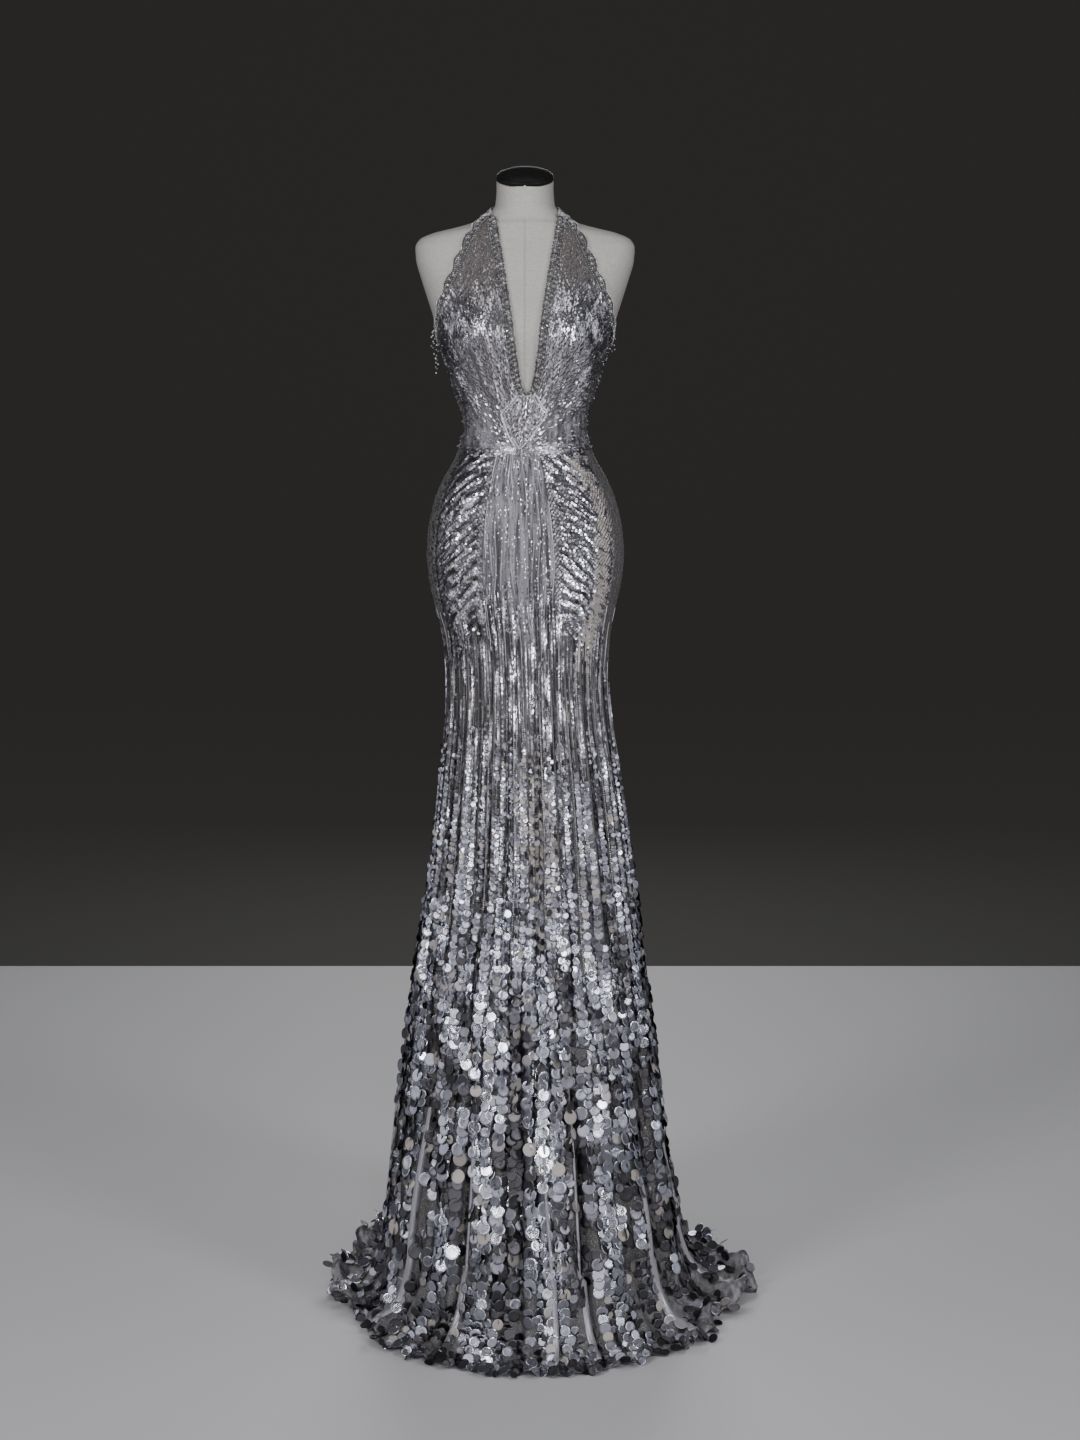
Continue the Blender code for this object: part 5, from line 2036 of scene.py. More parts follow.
@dataclass
class SkirtSequins:
    """Everything sewn on the skirt and the flounce."""

    skirt: SkirtForm
    flounce: FlounceForm
    finishes: Finishes
    course_pitch: float = 0.0040
    course_step: float = 0.0033
    course_length: float = 0.162
    back_pitch: float = 0.0039
    back_columns: int = 50
    back_end: float = 179.6
    centre_rows: int = 96
    centre_columns: int = 34
    thread_pitch: float = 0.0054
    thread_half_length: float = 0.0029
    string_pitch: float = 0.0036
    string_size: float = 0.0021
    chain_pitch: float = 0.0034
    chain_bead: float = 0.0012
    disc_corners: int = 16
    most_upright: float = 45.0  # degrees to which the paillettes on the floor stand up

    def __post_init__(self) -> None:
        """Read the tables."""
        self.size_at = table(SEQUIN_SIZE)
        self.strip_at = table(TAUPE_STRIP)

    def build(self) -> None:
        """Make the hip courses, the upright strings, the paillettes and their beads."""
        for side in Side:
            self._hips(side)
        self._centre()
        self._threads()
        self._strings()
        self._chains()
        self._paillettes()

    @staticmethod
    def _streak(column: Array, z: Array, seed: int) -> Array:
        """Return a field that is alike along an upright string and differs between strings."""
        return wander(column * 0.85, z / 0.13, seed)

    @staticmethod
    def _staggered(rows: int, count: int) -> Array:
        """Return shares along each row of a grid; every other row is half a step further on."""
        return (np.arange(count) + 0.25 + 0.5 * (np.arange(rows)[:, None] % 2)) / count

    def _taupe(self, place: Array) -> Array:
        """Return how far the sequins show their matt backs: two ragged patches in front.

        Args:
            place: Places of the sequins.

        Returns:
            Shares from 0 to 1.
        """
        x = place[:, 0] - self.skirt.body.axis[0]
        z = place[:, 2]
        ragged = 0.9 * wander(x / 0.010, z / 0.018, TAUPE_SEED)
        ragged = ragged + 0.7 * wander(x / 0.0032, z / 0.0032, TAUPE_SEED + 1)
        ahead = place[:, 1] < self.skirt.body.axis[1]
        strip = np.abs(x + 0.008 - self.strip_at(z)) / 0.0145
        tall = ease((z - 0.98) / 0.06) * ease((1.350 - z) / 0.01)
        patch = np.hypot((x - 0.020) / 0.040, (z - 0.77) / 0.17)
        near = np.maximum(1.35 - strip, 0.0) * tall + np.maximum(1.0 - patch, 0.0)
        return np.clip((near + 0.62 * ragged - 0.60) * 3.5, 0.0, 1.0) * ahead

    def _place(
        self, angle: Array, z: Array, radius: Array | float, tone: Array, out: float = 0.0007
    ) -> Placing:
        """Lay sequins flat on the skirt.

        Args:
            angle: Where each is round the pole.
            z: How high each is.
            radius: Its size.
            tone: From dark to light.
            out: How far they lie off the cloth.

        Returns:
            The sequins, with their share of taupe.
        """
        placing = lay(self.skirt.outside, angle, z, (0.30, 0.0015), radius, tone)
        return replace(placing, warm=self._taupe(placing.origin)).lifted(out)

    def _glint(self, angle: Array, z: Array, at: tuple, size: tuple) -> Array:
        """Return a soft bright spot, which is 1 at (x, height) and fades over a size."""
        x, _, high = (self.skirt.body.point(angle, z) - [*self.skirt.body.axis, 0.0]).T
        return np.exp(-(((x - at[0]) / size[0]) ** 2) - ((high - at[1]) / size[1]) ** 2)

    def _course_angle(self, side: Side, along: Array, z: Array) -> Array:
        """Return the angle at a share of the way from the centre panel's seam to the side seam."""
        seam = self.skirt.seams(z)[side is Side.RIGHT]
        return seam + (side.value * SIDE_SEAM - seam) * along

    def _course_places(self, side: Side) -> tuple[Array, Array, Array]:
        """Return height, share along the panel and course of the sequins over a front hip.

        Args:
            side: Which side.

        Returns:
            Height, share and course of each sequin.
        """
        start = np.arange(RUCHE_FOOT - 0.016, WAIST_Z + 0.20, self.course_pitch)[:, None]
        along = self._staggered(len(start), int(self.course_length / self.course_step))
        start, along = np.broadcast_arrays(start, along)
        z = start
        for _ in range(24):
            z = start - self.skirt.course_drop(self._course_angle(side, along, z), z)[0]
        thin = default_rng(40).uniform(0.0, 1.0, z.shape)
        full = ease((start - RUCHE_FOOT + 0.020) / 0.055 + 0.12)
        keep = (z < WAIST_Z - 0.002) & (along < 1.0) & (thin < full)
        return z[keep], along[keep], start[keep]

    def _hips(self, side: Side) -> None:
        """Make the courses of small sequins that run out and down over one hip.

        Args:
            side: Which side.
        """
        way = side.value
        chance = default_rng(41 + way)
        z, along, start = self._course_places(side)
        z = z + 0.0005 * chance.standard_normal(len(z))
        angle = self._course_angle(side, along, z)
        phase, strong = self.skirt.ruches(angle, z)
        crest = np.cos(TURN * (phase - 0.60)) * strong
        inner = ease((along - 0.02) / 0.05) * ease((0.62 - along) / 0.38)
        outer = ease((along - 0.52) / 0.14)
        run = wander(start / 0.012, along * 2.4, 43 + way)
        flare = self._glint(angle, z, (0.040, 1.325), (0.022, 0.026))
        # Painted highlights: the tone rises on the ruches' crests and in a soft bright spot (flare)
        # just right of centre below the waist.
        tone = 0.27 + 0.22 * inner + 0.50 * crest * (0.10 + 0.90 * inner)
        tone = tone + 0.22 * run * (0.3 + inner)
        tone = tone + 0.44 * flare - 0.24 * outer + 0.05 - 0.15 * (side is Side.LEFT)
        tone = tone + 0.05 * chance.standard_normal(len(z))
        few = chance.uniform(0.0, 1.0, len(z)) > 0.72 * outer
        radius = self.size_at(z) * (0.74 + 0.26 * inner) * (1.0 - 0.25 * outer)
        front = self._place(angle, z, radius, tone)
        slope = np.arctan(COURSE_SLOPE + 2.0 * COURSE_BEND * 0.155 * along) * way
        front = front.turned(-slope * ease(along / 0.05))
        front = replace(front, warm=np.maximum(front.warm, 0.55 * outer * (side is Side.RIGHT)))
        front = hang(front, Sway(4.0, 2.0, 4.0, 6.0), 61 + way, 3.0 * run, 5.0 * crest).kept(few)
        made = join_placings([front, self._back_hip(side)])
        shape = disc_shape(6, 0.08, 1.0, 0.5)
        sew("hip_sequins_" + side.word, shape, made, self.finishes.course, SEQUINS)

    def _back_hip(self, side: Side) -> Placing:
        """Lay the level courses from the side seam to the centre back.

        Args:
            side: Which side.

        Returns:
            The sequins.
        """
        chance = default_rng(45 + side.value)
        level = np.arange(RUCHE_END_SIDE, WAIST_Z - 0.002, self.back_pitch)[:, None]
        along = self._staggered(len(level), self.back_columns)
        turn = SIDE_SEAM + (self.back_end - SIDE_SEAM) * np.minimum(along, 1.0)
        angle, z, along = flat(side.value * turn, level, along)
        z = z + 0.0005 * chance.standard_normal(len(z))
        angle = angle + 0.3 * chance.standard_normal(len(z))
        run = wander(z / 0.012, angle / 20.0, 47 + side.value)
        near = ease((0.42 - along) / 0.40)
        tone = 0.34 + 0.20 * run - 0.16 * near + 0.16 * chance.standard_normal(len(z))
        placing = self._place(angle, z, self.size_at(z) * (0.95 - 0.30 * near), tone)
        few = chance.uniform(0.0, 1.0, len(z)) > 0.55 * near
        return hang(placing, Sway(4.0, 4.0, 7.0, 10.0), 63 + side.value, 3.0 * run).kept(few)

    def _centre(self) -> None:
        """Make the sparse small sequins of the gathered centre front."""
        chance = default_rng(71)
        rows = self.centre_rows
        columns = self.centre_columns
        share = (np.arange(columns)[None, :] + 0.5) / columns
        step = (np.arange(rows) + 0.5)[:, None] / rows
        z = RUCHE_FOOT - 0.02 + (WAIST_Z + 0.018 - RUCHE_FOOT) * step
        left, right = self.skirt.seams(z)
        angle, z, column = flat(left + (right - left) * share, z, share * 16.0)
        z = z + 0.0012 * chance.standard_normal(len(z))
        streak = wander(column * 0.9, z / 0.09, 74)
        tone = 0.36 + 0.30 * streak + 0.14 * chance.standard_normal(len(z))
        full = 0.24 + 0.40 * np.clip(streak, -0.5, 1.0) + 0.60 * ease((1.19 - z) / 0.09)
        keep = (chance.uniform(0.0, 1.0, len(z)) < full) & (z < WAIST_Z - 0.002)
        placing = self._place(angle, z, self.size_at(z) * 0.72, tone).kept(keep)
        placing = hang(placing, Sway(3.0, 3.0, 8.0, 8.0), 73)
        shape = disc_shape(6, 0.08, 0.6, 0.5)
        sew("centre_front_sequins", shape, placing, self.finishes.course, SEQUINS)

    def _threads(self) -> None:
        """Make the thin light lines: on the gathers of the centre front, and on the pleats."""
        chance = default_rng(75)
        z = np.arange(0.46, WAIST_Z - 0.004, self.thread_pitch)[:, None]
        share = (np.arange(GATHERS)[None, :] + 0.5) / GATHERS
        left, right = self.skirt.seams(z)
        wave = self.skirt.gather_wave(share, z) / GATHERS
        gather = left + (right - left) * (share - wave)
        pleat = np.arange(0.62, COLUMN_KNOTS[-1], 2.0)[None, :]
        pleated = self.skirt.angle_of(self.skirt.crest_column(pleat, z), z)
        angle = np.concatenate([gather, pleated], axis=1)
        number = np.arange(angle.shape[1])[None, :]
        line = 0.60 + 0.42 * wander(number * 0.9, z / 0.16, 76)
        low = z < RUCHE_FOOT - 0.02 + 0.04 * line
        there = np.where(number < GATHERS, z > RUCHE_FOOT - 0.03, low)
        keep = there & (line + 0.05 * chance.standard_normal(line.shape) > 0.60)
        angle, z, line, keep = flat(angle, z, line, keep)
        placing = self._place(angle, z, self.thread_half_length, line, 0.0006).kept(keep)
        sew("pleat_threads", bugle_bead(), placing, self.finishes.thread, SEQUINS)

    def _strings(self) -> None:
        """Make the fine upright strings between the hips and the hem."""
        chance = default_rng(81)
        column = np.arange(0.25, COLUMN_KNOTS[-1], 0.5)
        z = np.arange(0.14, 1.19, self.string_pitch)[:, None]
        column, z = flat(column, z + chance.uniform(0.0, self.string_pitch, len(column)))
        angle = self.skirt.angle_of(self.skirt.crest_column(column, z), z)
        drop, _ = self.skirt.course_drop(angle, z)
        ragged = 0.030 + 0.030 * wander(column * 0.9, z * 0.0, 89)
        on_front = z + drop < RUCHE_FOOT + ragged
        below = np.where(np.abs(angle) > SIDE_SEAM, z < RUCHE_END_SIDE, on_front)
        in_valley = np.abs(column % 2.0 - 1.0) > 0.6
        share = ease((z - 0.60) / 0.20) * 0.97 + in_valley * 0.34 * ease((0.82 - z) / 0.2)
        keep = below & (chance.uniform(0.0, 1.0, len(z)) < share)
        angle, z, column = angle[keep], z[keep], column[keep]
        streak = self._streak(column, z, 84)
        cloud = wander(column / 5.0, z / 0.16, 85)
        depth = np.abs(column % 2.0 - 1.0)
        glow = self._glint(angle, z, (0.005, 1.03), (0.050, 0.07))
        patch = wander(column / 2.6, z / 0.10, 90)
        # Painted shade in the pleats' valleys (depth), and a painted highlight at the centre front
        # (glow).
        tone = 0.26 + 0.24 * streak + 0.14 * cloud - 0.18 * depth + 0.26 * glow
        tone = tone + 0.65 * np.clip(patch - 0.25, -0.3, 1.0)
        tone = tone + 0.06 * chance.standard_normal(len(z))
        size = np.maximum(self.size_at(np.maximum(z, 0.90)), self.string_size)
        placing = self._place(angle, z, size, tone)
        swing = 6.0 * self._streak(column, z, 86)
        placing = hang(placing, Sway(4.0, 2.0, 5.0, 4.0), 83, 6.0 * patch, swing)
        sew("thigh_sequins", disc_shape(5, 0.05, 0.62, 0.6), placing, self.finishes.course, SEQUINS)

    def _chains(self) -> None:
        """Make the bead chains that hang in the valleys of the pleats."""
        chance = default_rng(87)
        column = np.arange(0.0, COLUMN_KNOTS[-1], 2.0) + 0.12
        count = len(column)
        z = np.arange(0.50, 1.06, self.chain_pitch)[:, None]
        z = z + chance.uniform(0.0, self.chain_pitch, count)
        inside = (z < chance.uniform(0.94, 1.06, count)) & (z > chance.uniform(0.50, 0.66, count))
        column, z, inside = flat(column, z, inside)
        column, z = column[inside], z[inside]
        angle = self.skirt.angle_of(self.skirt.crest_column(column, z), z)
        tone = 0.62 + 0.25 * self._streak(column, z, 88) + 0.15 * chance.standard_normal(len(z))
        placing = self._place(angle, z, self.chain_bead, tone, 0.0011)
        sew("pleat_bead_chains", half_bead(), placing, self.finishes.crystal, SEQUINS)

    def _paillette_columns(self) -> list[HangingColumn]:
        """Return the columns in which the paillettes hang, all the way round.

        Returns:
            The columns.
        """
        chance = default_rng(91)
        made = []
        for pleat in range(1, COLUMN_KNOTS[-1], 2):
            made.append(HangingColumn(pleat, 0.60 + 0.05 * chance.standard_normal(), 1.0, 1.0))
            for way in (-1.0, 1.0):
                top = 0.93 + 0.03 * chance.standard_normal()
                made.append(HangingColumn(pleat + 0.43 * way, top, 1.0, 1.0, foot=0.52))
                made.append(HangingColumn(pleat + 0.60 * way, 0.54, 0.80, 0.80))
            made.append(HangingColumn(pleat + 1.0, 0.17, 0.80, 0.70))
        return made

    def _run_of(self, columns: Sequence[HangingColumn]) -> PailletteRun:
        """Walk down each column and put a paillette at every step.

        Args:
            columns: Where they hang.

        Returns:
            All the paillettes.
        """
        chance = default_rng(92)
        ups = np.linspace(1.0, -0.010, 13)
        rows = []
        for column in columns:
            angle = self.skirt.angle_of(column.place, HEM_TOP)
            length = run_length(self.flounce.outside(np.full(len(ups), float(angle)), ups))
            down = chance.uniform(0.0, 0.008)
            side = 1.0
            fall = column.top - HEM_TOP
            end = column.top - column.foot if column.foot > 0.0 else fall + length[-1]
            while down < end:
                z = max(column.top - down, HEM_TOP)
                size = float(self.size_at(z)) * column.size
                clump = wander(np.array(column.place / 3.0), np.array((z - down * 0.3) / 0.07), 95)
                fade = min(1.0, max(0.0, (0.95 - z) / 0.12)) if z > 0.62 else 1.0
                sunk = float(self.skirt.sunk(self.skirt.angle_of(column.place, z), z))
                full = column.fill if column.fill > 0.99 else column.fill + 0.30 * float(clump)
                if chance.uniform() < fade * (1.0 - 0.50 * sunk) * full:
                    up = 1.0 if down < fall else float(np.interp(down - fall, length, ups))
                    rows.append((column.place, z, up, size, side))
                    side = -side
                down += size * chance.uniform(1.22, 1.52)
        return PailletteRun(*np.array(rows).T)

    def _paillettes(self) -> None:
        """Make the paillettes of the skirt and the flounce, and the beads that they hang from."""
        run = self._run_of(self._paillette_columns())
        chance = default_rng(93)
        count = len(run.z)
        zigzag = run.side * 0.07 + 0.05 * chance.standard_normal(count)
        on_floor = run.up < 1.0
        high = ~on_floor
        share = 1.0 - run.up
        loose = self.flounce.loose(self.skirt.angle_of(run.column, np.full(count, HEM_TOP)))
        curled = run.column - self.flounce.curl(run.column, share, loose) + zigzag
        column = self.skirt.crest_column(run.column, run.z) + zigzag
        column = np.clip(np.where(on_floor, curled, column), 0.0, COLUMN_KNOTS[-1])
        angle = self.skirt.angle_of(column, run.z)
        origin = np.empty((count, 3))
        axes = np.empty((count, 3, 3))
        for zone, surface, level, step in (
            (high, self.skirt.outside, run.z, 0.004), (on_floor, self.flounce.outside, run.up, 0.03)
        ):
            origin[zone], axes[zone] = frames_on(surface, angle[zone], level[zone], 0.5, step)
        place = run.z - share * 0.16
        streak = self._streak(run.column, place, 96)
        cloud = wander(run.column / 6.0, place / 0.17, 97)
        # Painted shade: sunk darkens the paillettes deep in the folds, and far darkens them towards
        # the sides near the floor, the right side most.
        sunk = self.skirt.sunk(angle, run.z)
        turn = np.abs(angle)
        far = (0.12 + 0.26 * (angle > 0.0)) * ease((turn - 52.0) / 20.0)
        far = far * ease((120.0 - turn) / 30.0) * ease((0.25 - run.z) / 0.10)
        # Painted shade: the tone also falls from each pleat's crest to its valley.
        tone = 0.47 + 0.22 * streak + 0.30 * cloud - 0.26 * np.abs(run.column % 2.0 - 1.0)
        tone = tone - 0.55 * sunk - far + 0.17 * chance.standard_normal(count)
        size = run.size * (1.06 - 0.18 * on_floor)
        upright = 14.0 * ease(share / 0.5) + 12.0 * np.abs(chance.standard_normal(count))
        upright = on_floor * ease((64.0 - turn) / 24.0) * upright
        upright = np.radians(np.minimum(upright, self.most_upright))
        axes = turn_axes(axes, 2, 1, -upright)
        stand = 0.0010 + 0.0004 * run.side + size * np.sin(upright)
        tone = np.clip(tone, 0.0, 1.0)
        placing = Placing(origin, axes, size, tone, self._taupe(origin)).lifted(stand)
        rough = ease((share - 0.45) / 0.5) * np.abs(chance.standard_normal(count))
        lean = 5.0 * streak + 26.0 * rough * loose
        swing = 8.0 * self._streak(run.column, place, 98) + 10.0 * rough
        hung = hang(placing, Sway(6.0, 5.0, 7.0, 9.0), 94, lean, swing)
        zones = {
            "front": high & (turn <= 62.0),
            "sides": high & (turn > 62.0) & (turn <= 118.0),
            "back": high & (turn > 118.0),
            "hem": on_floor,
        }
        shape = disc_shape(self.disc_corners, 0.10, 1.0, 0.80)
        for word, zone in zones.items():
            part = hung.kept(zone)
            sew("paillettes_" + word, shape, part, self.finishes.paillette, SEQUINS)
        # The beads keep their paillettes' tone, painted shade included.
        beads = replace(placing, radius=0.0007 + 0.06 * placing.radius, warm=None).lifted(0.0006)
        sew("paillette_beads", half_bead(), beads, self.finishes.crystal, SEQUINS)


@dataclass
class BodiceSequins:
    """The slim flakes on the bodice, which run towards the foot of the kite."""

    bodice: BodiceForm
    finishes: Finishes
    row_pitch: float = 0.0035
    step: float = 0.0025
    half_length: float = 0.0029
    lift: float = 0.0005
    steps: tuple = (0.4, 0.0015)  # angle and height over which the slope is taken
    band: float = 0.0125
    edging: float = 0.0085
    top: float = 1.704
    waist_flakes: int = 1000
    back_rows: int = 42
    back_columns: int = 54
    back_end: float = 179.4

    def build(self) -> None:
        """Make the flakes of the fronts and of the backs."""
        for side in Side:
            self._front(side)
        self._back()
        self._waist()

    def _make(
        self, name: str, placing: Placing, seed: int, lean: Array, swing: Array | float
    ) -> None:
        """Make flakes at the places."""
        placing = hang(placing, Sway(6.0, 3.5, 6.0, 7.0, 0.10), seed, lean, swing)
        sew(name, disc_shape(6, 0.06, 0.44, 0.3), placing, self.finishes.flake, MESH)

    def _rows(self, side: Side, chance: np.random.Generator) -> tuple[Array, Array]:
        """Return angles and heights of the flakes of one front, row by row between its edges.

        Args:
            side: Which side.
            chance: Gives the random draws.

        Returns:
            Angle and height of each flake.
        """
        body = self.bodice.body
        rows = []
        for z in np.arange(WAIST_Z + 0.003, self.top, self.row_pitch):
            first = float(self.bodice.inner_angle(side, z))
            last = float(self.bodice.outer_angle(side, z))
            inset = self.band * ease((z - NECKLINE_POINT) / 0.004)
            first += side.value * float(body.degrees_for(inset, first, z))
            last -= side.value * float(body.degrees_for(self.edging, last, z)) * (z > ARMHOLE_Z)
            if (last - first) * side.value <= 0.0:
                continue
            width = abs(last - first) / float(body.degrees_for(1.0, (first + last) / 2.0, z))
            count = max(2, int(width / self.step))
            share = (np.arange(count) + chance.uniform(0.15, 0.85, count)) / count
            height = np.full(count, z) + 0.0008 * chance.standard_normal(count)
            rows.append((first + (last - first) * share, height))
        angles, heights = zip(*rows)
        return np.concatenate(angles), np.concatenate(heights)

    def _front(self, side: Side) -> None:
        """Make the flakes of one front, close over the bust and sparse above, and its beads.

        Args:
            side: Which side.
        """
        way = side.value
        chance = default_rng(111 + way)
        angle, z = self._rows(side, chance)
        x, rise, lean = self.bodice.fan(angle, z)
        narrow = 0.0055 * (0.30 + 0.70 * np.clip(rise / 0.16, 0.0, 1.0))
        streak = wander(x / narrow * 0.36, z / 0.075, 113 + way)
        sweep = wander(x / narrow * 0.36, z / 0.060, 117 + way)
        # Painted highlight: bright is a soft light spot on each bust's crown; painted light: low
        # lightens the flakes under the bust.
        crown = np.hypot((np.abs(x + MOTIF_FOOT) - 0.075) / 0.034, (z - 1.558) / 0.040)
        bright = np.exp(-(crown**2))
        low = ease((1.53 - z) / 0.05)
        tone = 0.40 + 0.22 * streak + 0.34 * bright + 0.12 * low - 0.16 * ease((z - 1.59) / 0.05)
        tone = tone + 0.10 * chance.standard_normal(len(z))
        # Painted highlight: the right front is lightened, most on its bust crown and under its
        # bust.
        tone = tone + (side is Side.RIGHT) * (0.04 + 0.06 * low + 0.22 * bright)
        dense = 0.20 + 0.68 * ease((1.640 - z) / 0.07)
        dense = dense * (1.0 - 0.86 * self.bodice.satin(angle, z))
        size = self.half_length * (0.80 + 0.20 * ease((1.65 - z) / 0.05))
        placing = lay(self.bodice.outside, angle, z, self.steps, size, tone)
        placing = placing.turned(-lean).lifted(self.lift)
        keep = chance.uniform(0.0, 1.0, len(z)) < dense
        clump = 5.0 * wander(x / 0.007, z / 0.020, 119 + way) - 4.0 * low
        name = "bodice_sequins_" + side.word
        self._make(name, placing.kept(keep), 121 + way * 4, clump[keep], 8.0 * sweep[keep])
        few = chance.uniform(0.0, 1.0, len(z)) < 0.060
        size = 0.0006 + 0.0009 * chance.uniform(0.0, 1.0, len(z))
        # The beads carry the same painted highlight on the bust crowns.
        beads = replace(placing, radius=size, tone=0.5 + 0.5 * bright).lifted(0.0012).kept(few)
        sew("bodice_beads_" + side.word, round_bead(), beads, self.finishes.crystal, MESH)

    def _waist(self) -> None:
        """Make the flakes that lie over the waist seam in front."""
        chance = default_rng(135)
        count = self.waist_flakes
        angle = 66.0 * np.clip(0.36 * chance.standard_normal(count), -1.0, 1.0)
        z = WAIST_Z + 0.0045 * chance.standard_normal(count)

        def over_seam(turn: Array, level: Array) -> Array:
            """Return points just over the seam."""
            return self.bodice.body.offset(turn, level, CLOTH_GAP + CLOTH + 0.0003)

        tone = 0.42 + 0.20 * wander(angle / 9.0, z / 0.008, 136)
        tone = tone + 0.14 * chance.standard_normal(count)
        placing = lay(over_seam, angle, z, self.steps, self.half_length, tone)
        placing = placing.turned(-self.bodice.fan(angle, z)[2])
        self._make("waist_sequins", placing, 137, 4.0 * placing.tone, 0.0)

    def _back(self) -> None:
        """Make the flakes of the low back."""
        chance = default_rng(131)
        rows = self.back_rows
        columns = self.back_columns
        turn = (self.back_end - SIDE_SEAM) * (np.arange(columns)[None, :] + 0.5) / columns
        turn = SIDE_SEAM + turn
        share = (np.arange(rows)[:, None] + 0.6) / rows
        level = WAIST_Z + (self.bodice.back_top(turn) - 0.003 - WAIST_Z) * share
        parts = [flat(side.value * turn, level) for side in Side]
        angle, z = (np.concatenate(values) for values in zip(*parts))
        angle = angle + 0.4 * chance.standard_normal(len(angle))
        z = z + 0.0008 * chance.standard_normal(len(z))
        streak = wander(angle / 4.0, z / 0.05, 133)
        tone = 0.38 + 0.22 * streak + 0.17 * chance.standard_normal(len(z))
        placing = lay(self.bodice.outside, angle, z, self.steps, self.half_length, tone)
        placing = placing.lifted(self.lift)
        self._make("bodice_sequins_back", placing, 132, 3.0 * streak, 6.0 * streak)


